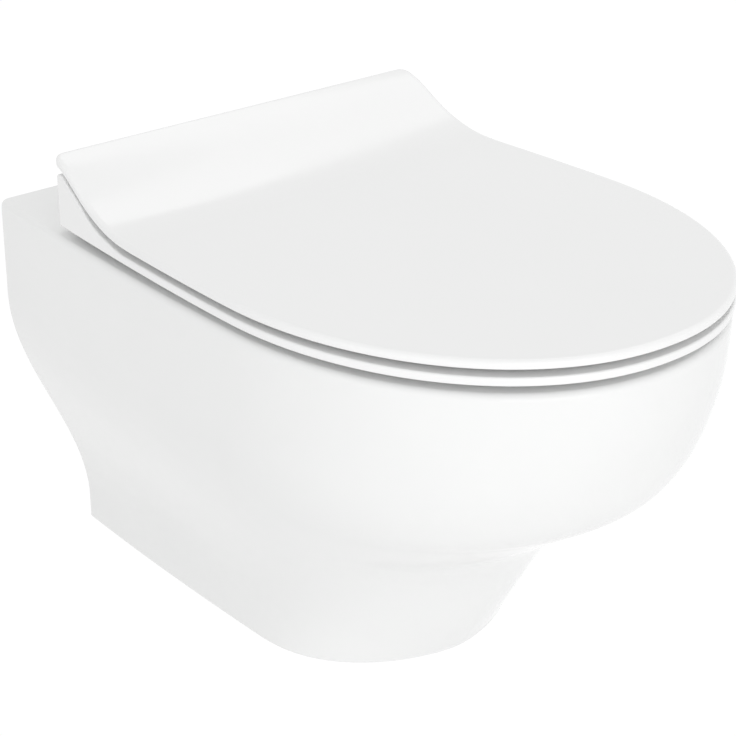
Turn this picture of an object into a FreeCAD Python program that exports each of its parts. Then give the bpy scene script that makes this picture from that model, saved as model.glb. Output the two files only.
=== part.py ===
import FreeCAD, Part
import math
import os
from FreeCAD import Vector

os.makedirs("parts", exist_ok=True)

# A wall hung toilet with a slim seat and lid. All sizes in mm.
# Zero is midway between the two wall studs, in the finished wall face.
# +Z is up, +X is to the right seen from the front, the pan stands out along -Y.
# "reach" below is the distance out from the wall, so Y = -reach.

# overall
seat_half_width = 180.0
seat_front_reach = 541.0
seat_rear_reach = 84.9
seat_widest_reach = 316.0
seat_side_power = 2.09
seat_nose_power = 2.05
rim_height = 78.0
pan_drop = 218.0

# outside of the ceramic pan, just inside the seat's outline
rim_side_setback = 0.6
rim_front_setback = 1.5
pan_half_width = seat_half_width - rim_side_setback
pan_front_reach = seat_front_reach - rim_front_setback
foot_half_width = 107.6
widest_reach = 310.0
foot_front_reach = 346.5
foot_widest_reach = 236.0
wall_half_width = 164.2
wall_foot_half_width = 100.9
flare_start = 19.4
flare_end = 75.1
rear_taper_power = 2.27
full_height = 32.6
foot_side_power = 1.67
foot_nose_power = 2.49
rim_side_power = 2.07
rim_nose_power = 2.12
edge_radius = 5.0
foot_edge_radius = 2.5
pan_wall = 11.0
deck_thickness = 12.0
floor_thickness = 12.0
# front profile below the rim: drop under the rim, pulled back from the front
front_profile = [
    (38.0, 3.3),
    (78.0, 14.6),
    (110.0, 28.5),
    (124.8, 39.6),
    (139.3, 59.3),
    (162.1, 91.7),
    (179.9, 116.2),
    (205.9, 139.4),
    (248.0, 163.5),
]

# bowl: drop under the rim, half width, rear edge and front edge
bowl_levels = [
    (-8.0, 134.0, 158.0, 494.0),
    (33.0, 133.5, 159.0, 493.0),
    (73.0, 128.0, 168.0, 482.0),
    (113.0, 107.0, 186.0, 435.0),
    (153.0, 79.0, 208.0, 376.0),
    (193.0, 51.0, 234.0, 336.0),
    (236.0, 29.0, 257.0, 313.0),
]
bowl_wall = 10.0
oval_power = 0.92
trap_radius = 28.0
trap_wall = 9.0
trap_bend = 55.0
crest_bend = 50.0
trap_start_reach = 285.0
trap_turn_reach = 250.0
trap_slope = math.radians(60.0)
trap_climb = 62.0
fall_slope = math.radians(45.0)
trap_centre_height = -150.0

# water connections
outlet_height = -100.0
outlet_radius = 51.0
outlet_bore = 42.0
outlet_recess = 8.0
outlet_length = 42.0
outlet_taper = 14.0
inlet_height = 35.0
inlet_bore = 27.5
inlet_depth = 42.0
inlet_wall = 8.5
channel_bore = 16.0
channel_wall = 9.0
spreader_seat_reach = 128.0
spreader_bore = 20.0
spreader_pocket = 55.0
spreader_clearance = 0.3
spreader_standing = 10.0
spreader_flange = 5.0
spreader_flange_thickness = 4.0
spreader_gap = 8.0
spreader_guide_thickness = 3.0

# wall fixing
stud_spacing = 180.0
stud_hole_radius = 6.5
bracket_width = 40.0
bracket_plate = 6.0
bracket_top = 24.0
bracket_foot_top = -20.0
bracket_foot_bottom = -30.0
bracket_foot_reach = 58.0
bracket_foot_setback = 2.0
bracket_rib = 4.0
bracket_rib_drop = 8.0
bracket_rib_reach = 32.0
ledge_thickness = 16.0
ledge_inner = 62.0
ledge_rear = 12.0
ledge_front = 62.0
clamp_reach = 40.0
clamp_radius = 4.0
clamp_clearance = 0.1
clamp_hole_radius = 7.0
clamp_head = 8.0
clamp_head_radius = 6.5
clamp_washer = 2.0
clamp_washer_radius = 12.0
clamp_washer_clearance = 0.4
clamp_key_flats = 6.0
clamp_key_depth = 4.5
clamp_tip = 3.0
nut_height = 10.0
nut_flats = 19.0
washer_thickness = 2.5
washer_radius = 12.0

# hinge
hinge_reach = 97.0
hinge_height = 112.0
hinge_hole_spacing = 155.0
hinge_hole_reach = 126.0
hinge_hole_radius = 7.0
eye_radius = 10.5
axle_radius = 4.0
axle_running_clearance = 0.3
axle_held_clearance = 0.05
post_width = 17.0
post_depth = 16.0
post_underside = 10.7
post_front_height = 17.0
post_top_rise = 0.6
post_crown = 9.4
post_crown_length = 4.8
base_radius = 14.0
gasket_thickness = 1.2
base_top = 85.0
fixing_bolt_radius = 3.0
fixing_bolt_below_plug = 12.0
spigot_radius = 4.0
spigot_length = 12.0
spigot_clearance = 0.1
spigot_end_gap = 0.8
bolt_clearance = 0.2
plug_nut_clearance = 0.05
plug_clearance = 0.2
plug_flare_radius = 9.0
plug_flare_length = 12.0
plug_slot = 1.2
plug_below_flare = 2.0
plug_bottom = rim_height - deck_thickness - plug_flare_length - plug_below_flare
plug_nut_flats = 10.0
plug_nut_height = 5.0

# seat
seat_underside = 84.8
seat_top = 91.0
seat_rear_half_width = 167.4
seat_taper_power = 1.6
seat_opening_half_width = 113.0
seat_opening_rear = 188.0
seat_opening_front = 472.0
cheek_inner = 93.0
bridge_half_width = 61.5
notch_front_reach = 152.0
corner_radius = 9.0
cheek_pocket_rear = 114.0
cheek_pocket_front = 150.0
cheek_pocket_height = 16.0
cheek_pocket_margin = 24.0
cheek_skin = 7.0
# the back edge of each cheek: distance from the rear edge and rise over the seat top
cheek_shoulder = [(0.4, 29.0), (2.6, 31.6)]
cheek_run_out = 12.0
# buffer places: distance from the middle, reach and turn in degrees
rear_buffer_place = (146.0, 240.0, 4.0)
front_buffer_place = (106.0, 440.0, 33.0)
seat_buffer_length = 40.0
seat_buffer_width = 9.0
peg_radius = 2.0
peg_length = 3.0
peg_clearance = 0.1
peg_hole_depth = 3.2
damper_radius = 7.4
damper_clearance = 0.05
damper_length = 44.0
damper_end_gap = 0.4
bush_shortening = 14.0
collar_radius = 9.5
collar_gap = 1.2

# lid
lid_underside = 96.5
lid_thickness = 5.9
knuckle_length = 23.0
knuckle_gap = 2.0
# section of the web between each knuckle and the lid, from the hinge line: outward and up
knuckle_web = [(-9.0, 4.0), (9.5, 4.0), (9.5, 13.4), (-5.5, 21.0)]
lid_damper_radius = 6.6
lid_buffer_radius = 5.0
lid_buffer_place = (96.0, 462.0)
damper_floor = 2.5
# rise of the lid underside over its flat part, by distance from the rear edge
lid_ramp = [
    (0.0, 36.6),
    (13.8, 31.9),
    (25.8, 25.6),
    (37.8, 18.2),
    (49.8, 11.8),
    (63.8, 6.4),
    (81.8, 1.8),
    (106.8, 0.0),
]
# rise of the seat cheek over the seat top, by distance from the rear edge
cheek_ramp = [
    (7.0, 33.9),
    (11.0, 34.5),
    (18.5, 30.6),
    (27.1, 26.0),
    (43.5, 15.4),
    (59.8, 7.0),
    (76.1, 3.0),
    (92.1, 0.2),
]


def at(x, reach, z):
    return Vector(x, -reach, z)


def box(x0, x1, reach0, reach1, z0, z1):
    return Part.makeBox(x1 - x0, reach1 - reach0, z1 - z0, Vector(x0, -reach1, z0))


def upright(radius, x, reach, z0, z1):
    return Part.makeCylinder(radius, z1 - z0, at(x, reach, z0), Vector(0, 0, 1))


def outward(radius, x, reach0, reach1, z):
    return Part.makeCylinder(radius, reach1 - reach0, at(x, reach0, z), Vector(0, -1, 0))


def across(radius, x0, x1, reach, z):
    return Part.makeCylinder(radius, x1 - x0, at(x0, reach, z), Vector(1, 0, 0))


def mirrored(shape):
    return shape.mirror(Vector(0, 0, 0), Vector(1, 0, 0))


def joined(shapes):
    result = shapes[0]
    for shape in shapes[1:]:
        result = result.fuse(shape)
    return result


def side_prism(points, x0, x1):
    corners = [at(x0, reach, z) for reach, z in points]
    face = Part.Face(Part.makePolygon(corners + [corners[0]]))
    return face.extrude(Vector(x1 - x0, 0, 0))


def hex_prism(flats, height, base, direction):
    radius = flats / math.sqrt(3.0)
    corners = []
    for step in range(7):
        angle = math.radians(60.0 * step)
        corners.append(Vector(radius * math.cos(angle), radius * math.sin(angle), 0))
    solid = Part.Face(Part.makePolygon(corners)).extrude(Vector(0, 0, height))
    turn = FreeCAD.Rotation(Vector(0, 0, 1), direction)
    solid.Placement = FreeCAD.Placement(base, turn)
    return solid


def save(shape, name):
    shape.exportStep("parts/" + name + ".step")
    box_size = shape.BoundBox
    count = len(shape.Solids)
    print(name, "solids", count, "valid", shape.isValid(),
          "size", round(box_size.XLength, 1), round(box_size.YLength, 1), round(box_size.ZLength, 1))


# ---------------------------------------------------------------- pan outside

def front_curve():
    points = [Vector(pan_front_reach, 0, rim_height)]
    for drop, back in front_profile:
        points.append(Vector(pan_front_reach - back, 0, rim_height - drop))
    points.append(Vector(foot_front_reach, 0, -pan_drop))
    curve = Part.BSplineCurve()
    curve.interpolate(points)
    return curve


def parameter_at_height(curve, height, inset):
    low = curve.FirstParameter
    high = curve.LastParameter
    for _ in range(50):
        middle = 0.5 * (low + high)
        if profile_point(curve, middle, inset)[1] > height:
            low = middle
        else:
            high = middle
    return 0.5 * (low + high)


def profile_point(curve, parameter, inset):
    point = curve.value(parameter)
    along = curve.tangent(parameter)[0]
    return point.x + inset * along.z, point.z - inset * along.x


def widths_at(height):
    share = (height + pan_drop - flare_start) / (pan_drop + rim_height - flare_start - flare_end)
    share = min(max(share, 0.0), 1.0)
    share = share * share * (3.0 - 2.0 * share)
    widest = foot_half_width + (pan_half_width - foot_half_width) * share
    rear = wall_foot_half_width + (wall_half_width - wall_foot_half_width) * share
    return widest, rear


def fullness_at(height):
    share = min(max((height + pan_drop) / (pan_drop + full_height), 0.0), 1.0)
    return share * share * (3.0 - 2.0 * share)


def outline_row(front, height, inset, rear_reach):
    widest, rear = widths_at(height)
    fullness = fullness_at(height)
    centre = foot_widest_reach + (widest_reach - foot_widest_reach) * fullness
    side_power = foot_side_power + (rim_side_power - foot_side_power) * fullness
    nose_power = foot_nose_power + (rim_nose_power - foot_nose_power) * fullness
    half = []
    rear_start = rear_reach / centre
    for step in range(9):
        share = rear_start + (1.0 - rear_start) * step / 9.0
        x = widest - (widest - rear) * (1.0 - share) ** rear_taper_power
        reach = rear_reach if step == 0 else centre * share
        half.append((x - inset, reach))
    for step in range(17):
        angle = 0.5 * math.pi * step / 16.0
        x = (widest - inset) * max(math.cos(angle), 0.0) ** (2.0 / side_power)
        reach = centre + (front - centre) * math.sin(angle) ** (2.0 / nose_power)
        half.append((x, reach))
    half[-1] = (0.0, half[-1][1])
    left = [at(-x, reach, height) for x, reach in half]
    right = [at(x, reach, height) for x, reach in reversed(half[:-1])]
    return left + right


def pan_rows(inset, top, bottom, rounding, foot_rounding, rear_reach):
    curve = front_curve()
    first = parameter_at_height(curve, top - rounding, inset)
    last = parameter_at_height(curve, bottom + foot_rounding, inset)
    rows = []

    def add(parameter, height, extra):
        front, level = profile_point(curve, parameter, inset)
        use = level if height is None else height
        rows.append(outline_row(front - extra, use, inset + extra, rear_reach))

    if rounding > 0.0:
        for angle in (90.0, 67.0, 45.0, 22.0):
            turn = math.radians(angle)
            add(first, top - rounding + rounding * math.sin(turn), rounding * (1.0 - math.cos(turn)))
    count = 26
    for step in range(count + 1):
        share = step / count
        height = None
        if step == 0:
            height = top - rounding
        if step == count:
            height = bottom + foot_rounding
        add(first + (last - first) * share, height, 0.0)
    if foot_rounding > 0.0:
        for angle in (22.0, 45.0, 67.0, 90.0):
            turn = math.radians(angle)
            add(last, bottom + foot_rounding * (1.0 - math.sin(turn)), foot_rounding * (1.0 - math.cos(turn)))
    return rows


def solid_from_rows(rows):
    surface = Part.BSplineSurface()
    surface.interpolate(rows)
    side = surface.toShape()
    u0, u1, v0, v1 = surface.bounds()
    top = surface.uIso(u0).toShape()
    bottom = surface.uIso(u1).toShape()
    left = surface.vIso(v0).toShape()
    right = surface.vIso(v1).toShape()
    top_line = Part.makeLine(rows[0][0], rows[0][-1])
    bottom_line = Part.makeLine(rows[-1][0], rows[-1][-1])
    faces = [side]
    faces.append(Part.Face(Part.Wire(Part.__sortEdges__([top, top_line]))))
    faces.append(Part.Face(Part.Wire(Part.__sortEdges__([bottom, bottom_line]))))
    faces.append(Part.Face(Part.Wire(Part.__sortEdges__([left, bottom_line, right, top_line]))))
    shell = Part.makeShell(faces)
    shell.sewShape()
    solid = Part.makeSolid(shell)
    if solid.Volume < 0:
        solid.reverse()
    return solid


def pan_outside():
    return solid_from_rows(pan_rows(0.0, rim_height, -pan_drop, edge_radius, foot_edge_radius, 0.0))


def pan_hollow():
    # it starts behind the wall plane, so that the back of the pan is open
    top = rim_height - deck_thickness
    bottom = -pan_drop + floor_thickness
    return solid_from_rows(pan_rows(pan_wall, top, bottom, 0.0, 0.0, -5.0))


# ---------------------------------------------------------------- pan inside

def oval_wire(half_width, rear, front, height):
    centre = 0.5 * (rear + front)
    half_length = 0.5 * (front - rear)
    points = []
    for step in range(32):
        angle = 2.0 * math.pi * step / 32.0
        c = math.cos(angle)
        s = math.sin(angle)
        x = half_width * math.copysign(abs(c) ** oval_power, c)
        reach = centre + half_length * math.copysign(abs(s) ** oval_power, s)
        points.append(at(x, reach, height))
    curve = Part.BSplineCurve()
    curve.interpolate(points, True)
    return Part.Wire(curve.toShape())


def bowl_solid(grow):
    wires = []
    for drop, half_width, rear, front in bowl_levels:
        wires.append(oval_wire(half_width + grow, rear - grow, front + grow, rim_height - drop))
    return Part.makeLoft(wires, True, False)


def arc_between(centre, radius, start, end):
    def point(angle):
        return at(0, centre[0] + radius * math.cos(angle), centre[1] + radius * math.sin(angle))
    return Part.Arc(point(start), point(0.5 * (start + end)), point(end)).toShape()


def trap_path():
    down = -0.5 * math.pi
    low = (trap_turn_reach, trap_centre_height + trap_bend)
    first_end = down - trap_slope
    low_end = (low[0] + trap_bend * math.cos(first_end), low[1] + trap_bend * math.sin(first_end))
    climb_end = (low_end[0] - trap_climb * math.cos(trap_slope),
                 low_end[1] + trap_climb * math.sin(trap_slope))
    crest = (climb_end[0] - crest_bend * math.sin(trap_slope),
             climb_end[1] - crest_bend * math.cos(trap_slope))
    crest_start = 0.5 * math.pi - trap_slope
    crest_end = 0.5 * math.pi + fall_slope
    fall_start = (crest[0] + crest_bend * math.cos(crest_end),
                  crest[1] + crest_bend * math.sin(crest_end))
    turn_drop = crest_bend * (1.0 - math.cos(fall_slope))
    fall = fall_start[1] - outlet_height - turn_drop
    fall_end = (fall_start[0] - fall / math.tan(fall_slope), fall_start[1] - fall)
    last = (fall_end[0] - crest_bend * math.sin(fall_slope),
            fall_end[1] + crest_bend * math.cos(fall_slope))
    start_point = at(0, trap_start_reach, trap_centre_height)
    edges = [
        Part.makeLine(start_point, at(0, trap_turn_reach, trap_centre_height)),
        arc_between(low, trap_bend, down, first_end),
        Part.makeLine(at(0, *low_end), at(0, *climb_end)),
        arc_between(crest, crest_bend, crest_start, crest_end),
        Part.makeLine(at(0, *fall_start), at(0, *fall_end)),
        arc_between(last, crest_bend, down + fall_slope, down),
        Part.makeLine(at(0, last[0], outlet_height), at(0, outlet_recess + 2.0, outlet_height)),
    ]
    return Part.Wire(edges)


def tube_along_trap(radius):
    start = at(0, trap_start_reach, trap_centre_height)
    ring = Part.Wire(Part.makeCircle(radius, start, Vector(0, 1, 0)))
    return trap_path().makePipeShell([ring], True, True)


def fixing_ledge():
    top = bracket_foot_bottom
    return box(ledge_inner, wall_half_width, ledge_rear, ledge_front, top - ledge_thickness, top)


def hinge_holes():
    low = rim_height - deck_thickness - 4.0
    return [upright(hinge_hole_radius, side * hinge_hole_spacing / 2, hinge_hole_reach,
                    low, rim_height + 4.0) for side in (-1, 1)]


def clamp_holes():
    top = bracket_foot_bottom
    return [upright(clamp_hole_radius, side * stud_spacing / 2, clamp_reach,
                    top - ledge_thickness - 4.0, top + 4.0) for side in (-1, 1)]


def slice_between(z0, z1):
    return box(-200.0, 200.0, -20.0, 600.0, z0, z1)


def water_ways():
    inlet_end = outlet_recess + inlet_depth
    spreader_end = spreader_seat_reach + spreader_pocket
    cone_start = outlet_recess + outlet_length - outlet_taper
    cone = Part.makeCone(outlet_bore, trap_radius, outlet_taper,
                         at(0, cone_start, outlet_height), Vector(0, -1, 0))
    return [
        tube_along_trap(trap_radius),
        Part.makeSphere(trap_radius, at(0, trap_start_reach, trap_centre_height)),
        outward(outlet_bore, 0, -2.0, cone_start, outlet_height),
        cone,
        outward(inlet_bore, 0, -2.0, inlet_end, inlet_height),
        outward(channel_bore, 0, inlet_end - 1.0, spreader_seat_reach, inlet_height),
        outward(spreader_bore, 0, spreader_seat_reach, spreader_end, inlet_height),
    ]


def pan_deck(outside):
    deck = outside.common(slice_between(rim_height - deck_thickness, rim_height + 10.0))
    return deck.cut([bowl_solid(0.0)] + hinge_holes())


def pan_floor(outside):
    return outside.common(slice_between(-pan_drop - 10.0, -pan_drop + floor_thickness))


def pan_skirt(outside):
    middle = outside.common(slice_between(-pan_drop + floor_thickness, rim_height - deck_thickness))
    hollow = pan_hollow()
    ledge = fixing_ledge()
    ledges = ledge.fuse(mirrored(ledge)).common(hollow)
    return middle.cut(hollow).fuse(ledges).removeSplitter().cut(clamp_holes())


def pan_bowl():
    below_deck = slice_between(-pan_drop, rim_height - deck_thickness)
    walls = bowl_solid(bowl_wall).common(below_deck)
    return walls.cut([bowl_solid(0.0)] + water_ways())


def pan_trap():
    start = at(0, trap_start_reach, trap_centre_height)
    horn = outward(outlet_radius, 0, outlet_recess, outlet_recess + outlet_length, outlet_height)
    sump = Part.makeSphere(trap_radius + trap_wall, start)
    body = joined([tube_along_trap(trap_radius + trap_wall), sump, horn])
    return body.cut([bowl_solid(bowl_wall)] + water_ways())


def pan_inlet():
    inlet_end = outlet_recess + inlet_depth
    channel_end = bowl_levels[1][2]
    collar = outward(inlet_bore + inlet_wall, 0, outlet_recess, inlet_end + inlet_wall, inlet_height)
    channel = outward(spreader_bore + channel_wall, 0, outlet_recess, channel_end, inlet_height)
    below_deck = slice_between(-pan_drop, rim_height - deck_thickness)
    body = collar.fuse(channel).cut([bowl_solid(bowl_wall)] + water_ways())
    return body.common(below_deck)


def flush_spreader():
    outer = spreader_bore - spreader_clearance
    rim = spreader_bore + spreader_flange
    nose = bowl_levels[1][2] + spreader_standing
    flange_end = nose + spreader_flange_thickness
    guide_start = flange_end + spreader_gap
    sleeve = outward(outer, 0, spreader_seat_reach, nose, inlet_height)
    flange = outward(rim, 0, nose, flange_end, inlet_height)
    guide = outward(rim, 0, guide_start, guide_start + spreader_guide_thickness, inlet_height)
    body = joined([sleeve, flange, guide])
    body = body.cut(outward(channel_bore, 0, spreader_seat_reach - 1.0, flange_end + 1.0, inlet_height))
    # three ribs hold the guide plate in front of the flange
    for side in (-1, 1):
        rib_x = side * (spreader_bore + 1.0)
        rib = box(rib_x - 1.5, rib_x + 1.5, flange_end - 1.0, guide_start + 1.0,
                  inlet_height - 0.35 * rim, inlet_height + 0.35 * rim)
        body = body.fuse(rib)
    top_rib = box(-12.0, 12.0, flange_end - 1.0, guide_start + 1.0,
                  inlet_height + rim - 5.0, inlet_height + rim - 2.5)
    return body.fuse(top_rib).removeSplitter()


# ---------------------------------------------------------------- wall fixing

def fixing_bracket():
    middle = stud_spacing / 2
    half = bracket_width / 2
    plate = box(middle - half, middle + half, 0.0, bracket_plate, bracket_foot_bottom, bracket_top)
    foot_half = half - bracket_foot_setback
    foot = box(middle - foot_half, middle + foot_half, 0.0, bracket_foot_reach,
               bracket_foot_bottom, bracket_foot_top)
    body = plate.fuse(foot)
    rib_corners = [
        (bracket_plate, bracket_foot_top),
        (bracket_rib_reach, bracket_foot_top),
        (bracket_plate, bracket_top - bracket_rib_drop),
    ]
    for side in (-1, 1):
        edge = middle + side * (foot_half - bracket_rib / 2)
        body = body.fuse(side_prism(rib_corners, edge - bracket_rib / 2, edge + bracket_rib / 2))
    body = body.cut(outward(stud_hole_radius, middle, -1.0, bracket_plate + 1.0, 0.0))
    body = body.cut(upright(clamp_radius + clamp_clearance, middle, clamp_reach,
                            bracket_foot_bottom - 1.0, bracket_foot_top + 1.0))
    return body.removeSplitter()


def stud_washer():
    middle = stud_spacing / 2
    end = bracket_plate + washer_thickness
    ring = outward(washer_radius, middle, bracket_plate, end, 0.0)
    return ring.cut(outward(stud_hole_radius, middle, 0.0, end + 1.0, 0.0))


def stud_nut():
    start = bracket_plate + washer_thickness
    middle = stud_spacing / 2
    nut = hex_prism(nut_flats, nut_height, at(middle, start, 0.0), Vector(0, -1, 0))
    return nut.cut(outward(stud_hole_radius, middle, start - 1.0, start + nut_height + 1.0, 0.0))


def clamp_washer_disc():
    middle = stud_spacing / 2
    top = bracket_foot_bottom - ledge_thickness
    ring = upright(clamp_washer_radius, middle, clamp_reach, top - clamp_washer, top)
    return ring.cut(upright(clamp_radius + clamp_washer_clearance, middle, clamp_reach,
                            top - clamp_washer - 1.0, top + 1.0))


def clamp_screw():
    middle = stud_spacing / 2
    head_top = bracket_foot_bottom - ledge_thickness - clamp_washer
    head = upright(clamp_head_radius, middle, clamp_reach, head_top - clamp_head, head_top)
    shank = upright(clamp_radius, middle, clamp_reach, head_top, bracket_foot_top + clamp_tip)
    head_bottom = at(middle, clamp_reach, head_top - clamp_head)
    key = hex_prism(clamp_key_flats, clamp_key_depth, head_bottom, Vector(0, 0, 1))
    return head.fuse(shank).cut(key)


# ---------------------------------------------------------------- hinge fixing

def base_gasket():
    x = hinge_hole_spacing / 2
    ring = upright(base_radius, x, hinge_hole_reach, rim_height, rim_height + gasket_thickness)
    return ring.cut(upright(hinge_hole_radius, x, hinge_hole_reach, rim_height - 1.0, base_top))


def hinge_base():
    x = hinge_hole_spacing / 2
    disc = upright(base_radius, x, hinge_hole_reach, rim_height + gasket_thickness, base_top)
    return disc.cut(upright(fixing_bolt_radius + bolt_clearance, x, hinge_hole_reach,
                            rim_height, base_top + 1.0))


def fixing_bolt():
    x = hinge_hole_spacing / 2
    lower = upright(fixing_bolt_radius, x, hinge_hole_reach, plug_bottom - fixing_bolt_below_plug, base_top)
    upper = upright(spigot_radius, x, hinge_hole_reach, base_top, base_top + spigot_length)
    return lower.fuse(upper)


def deck_plug():
    x = hinge_hole_spacing / 2
    deck_underside = rim_height - deck_thickness
    neck = upright(hinge_hole_radius - plug_clearance, x, hinge_hole_reach, plug_bottom, rim_height)
    flare = upright(plug_flare_radius, x, hinge_hole_reach,
                    deck_underside - plug_flare_length, deck_underside)
    body = neck.fuse(flare)
    for turn in (0.0, 90.0):
        slot = box(x - plug_slot / 2, x + plug_slot / 2, hinge_hole_reach - plug_flare_radius - 1.0,
                   hinge_hole_reach + plug_flare_radius + 1.0,
                   plug_bottom + 3.0, deck_underside - 2.0)
        slot.rotate(at(x, hinge_hole_reach, 0), Vector(0, 0, 1), turn)
        body = body.cut(slot)
    return body.cut(upright(fixing_bolt_radius + bolt_clearance, x, hinge_hole_reach,
                            plug_bottom - 1.0, rim_height + 1.0))


def plug_nut():
    x = hinge_hole_spacing / 2
    base = at(x, hinge_hole_reach, plug_bottom - plug_nut_height)
    nut = hex_prism(plug_nut_flats, plug_nut_height, base, Vector(0, 0, 1))
    return nut.cut(upright(fixing_bolt_radius + plug_nut_clearance, x, hinge_hole_reach,
                           plug_bottom - plug_nut_height - 1.0, plug_bottom + 1.0))


def hinge_post():
    middle = hinge_hole_spacing / 2
    x0 = middle - post_width / 2
    x1 = middle + post_width / 2
    rear = hinge_hole_reach - post_depth / 2
    front = hinge_hole_reach + post_depth / 2
    low = hinge_height - post_underside
    corners = [
        (hinge_reach, low),
        (rear, low),
        (rear, base_top),
        (front, base_top),
        (front, base_top + post_front_height),
        (rear, hinge_height + post_top_rise),
        (hinge_reach + post_crown_length, hinge_height + post_crown),
        (hinge_reach, hinge_height + post_crown),
    ]
    body = side_prism(corners, x0, x1).fuse(across(eye_radius, x0, x1, hinge_reach, hinge_height))
    body = body.cut(across(axle_radius + axle_held_clearance, x0 - 1.0, x1 + 1.0,
                           hinge_reach, hinge_height))
    bore = upright(spigot_radius + spigot_clearance, middle, hinge_hole_reach,
                   base_top - 1.0, base_top + spigot_length + spigot_end_gap)
    return body.cut(bore).removeSplitter()


def knuckle_span():
    outer = hinge_hole_spacing / 2 - post_width / 2 - knuckle_gap
    return outer - knuckle_length, outer


def hinge_axle():
    start = knuckle_span()[0] + 3.0
    end = cheek_inner + damper_length - 4.0
    return across(axle_radius, start, end, hinge_reach, hinge_height)


# ---------------------------------------------------------------- seat and lid

def plan_prism(z0, z1, inset):
    points = []
    for step in range(12):
        share = step / 12.0
        x = seat_half_width - (seat_half_width - seat_rear_half_width) * (1.0 - share) ** seat_taper_power
        reach = seat_rear_reach + (seat_widest_reach - seat_rear_reach) * share
        points.append((x - inset, reach))
    for step in range(19):
        angle = 0.5 * math.pi * step / 18.0
        x = (seat_half_width - inset) * max(math.cos(angle), 0.0) ** (2.0 / seat_side_power)
        nose = (seat_front_reach - seat_widest_reach - inset) * math.sin(angle) ** (2.0 / seat_nose_power)
        points.append((x, seat_widest_reach + nose))
    points[-1] = (0.0, points[-1][1])
    left = [at(-x, reach, z0) for x, reach in points]
    right = [at(x, reach, z0) for x, reach in reversed(points[:-1])]
    curve = Part.BSplineCurve()
    curve.interpolate(left + right)
    edges = [curve.toShape(), Part.makeLine(right[-1], left[0])]
    prism = Part.Face(Part.Wire(edges)).extrude(Vector(0, 0, z1 - z0))
    corners = []
    for edge in prism.Edges:
        upright_edge = abs(edge.BoundBox.ZLength - (z1 - z0)) < 0.01
        at_rear = abs(edge.BoundBox.YMax + seat_rear_reach) < 0.01
        if upright_edge and at_rear and edge.BoundBox.XLength < 0.01:
            corners.append(edge)
    return prism.makeFillet(corner_radius, corners)


def ramp_curve(points, base, first_reach):
    spots = [at(0, first_reach + distance, base + rise) for distance, rise in points]
    curve = Part.BSplineCurve()
    curve.interpolate(spots)
    return curve


def slab_between(lower, upper, x0, x1):
    # lower and upper are lists of edges in the X = 0 plane, both running rear to front
    first = lower[0].Vertexes[0].Point
    last = lower[-1].Vertexes[-1].Point
    top_first = upper[0].Vertexes[0].Point
    top_last = upper[-1].Vertexes[-1].Point
    edges = list(lower) + list(upper)
    edges.append(Part.makeLine(first, top_first))
    edges.append(Part.makeLine(last, top_last))
    wire = Part.Wire(Part.__sortEdges__(edges))
    face = Part.Face(wire)
    face.translate(Vector(x0, 0, 0))
    return face.extrude(Vector(x1 - x0, 0, 0))


def lid_line(offset):
    curve = ramp_curve(lid_ramp, lid_underside + offset, seat_rear_reach)
    ramp_end = seat_rear_reach + lid_ramp[-1][0]
    flat = Part.makeLine(at(0, ramp_end, lid_underside + offset),
                         at(0, seat_front_reach + 10.0, lid_underside + offset))
    return [curve.toShape(), flat]


def peg_hole(x, reach, underside):
    return upright(peg_radius + peg_clearance, x, reach, underside - 1.0, underside + peg_hole_depth)


def peg(x, reach, underside):
    return upright(peg_radius, x, reach, underside - 1.0, underside + peg_length)


def lid_knuckle():
    start, end = knuckle_span()
    barrel = across(eye_radius, start, end, hinge_reach, hinge_height)
    web = side_prism([(hinge_reach + out, hinge_height + up) for out, up in knuckle_web], start, end)
    return barrel.fuse(web)


def lid():
    slab = slab_between(lid_line(0.0), lid_line(lid_thickness), -200.0, 200.0)
    plate = slab.common(plan_prism(lid_underside - 1.0, lid_underside + 60.0, 0.0))
    start, end = knuckle_span()
    body = plate
    for side in (-1, 1):
        knuckle = lid_knuckle()
        bore = across(lid_damper_radius + damper_clearance, start - 1.0, end - damper_floor,
                      hinge_reach, hinge_height)
        hole = across(axle_radius + axle_running_clearance, start, end + 1.0, hinge_reach, hinge_height)
        if side < 0:
            knuckle = mirrored(knuckle)
            bore = mirrored(bore)
            hole = mirrored(hole)
        body = body.fuse(knuckle).cut(bore).cut(hole)
        place = lid_buffer_place
        body = body.cut(peg_hole(side * place[0], place[1], lid_underside))
    return body.removeSplitter()


def cheek_line():
    curve = ramp_curve(cheek_ramp, seat_top, seat_rear_reach)
    corners = [at(0, seat_rear_reach + back, seat_top + rise)
               for back, rise in cheek_shoulder + [cheek_ramp[0], cheek_ramp[-1]]]
    shoulder = Part.Arc(corners[0], corners[1], corners[2]).toShape()
    flat_start = at(0, seat_rear_reach + cheek_ramp[-1][0] + cheek_run_out, seat_top)
    flat_end = at(0, seat_front_reach + 10.0, seat_top)
    return [shoulder, curve.toShape(), Part.makeLine(corners[3], flat_start),
            Part.makeLine(flat_start, flat_end)]


def seat_floor_line():
    start = at(0, seat_rear_reach + cheek_shoulder[0][0], seat_underside)
    end = at(0, seat_front_reach + 10.0, seat_underside)
    return [Part.makeLine(start, end)]


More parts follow.
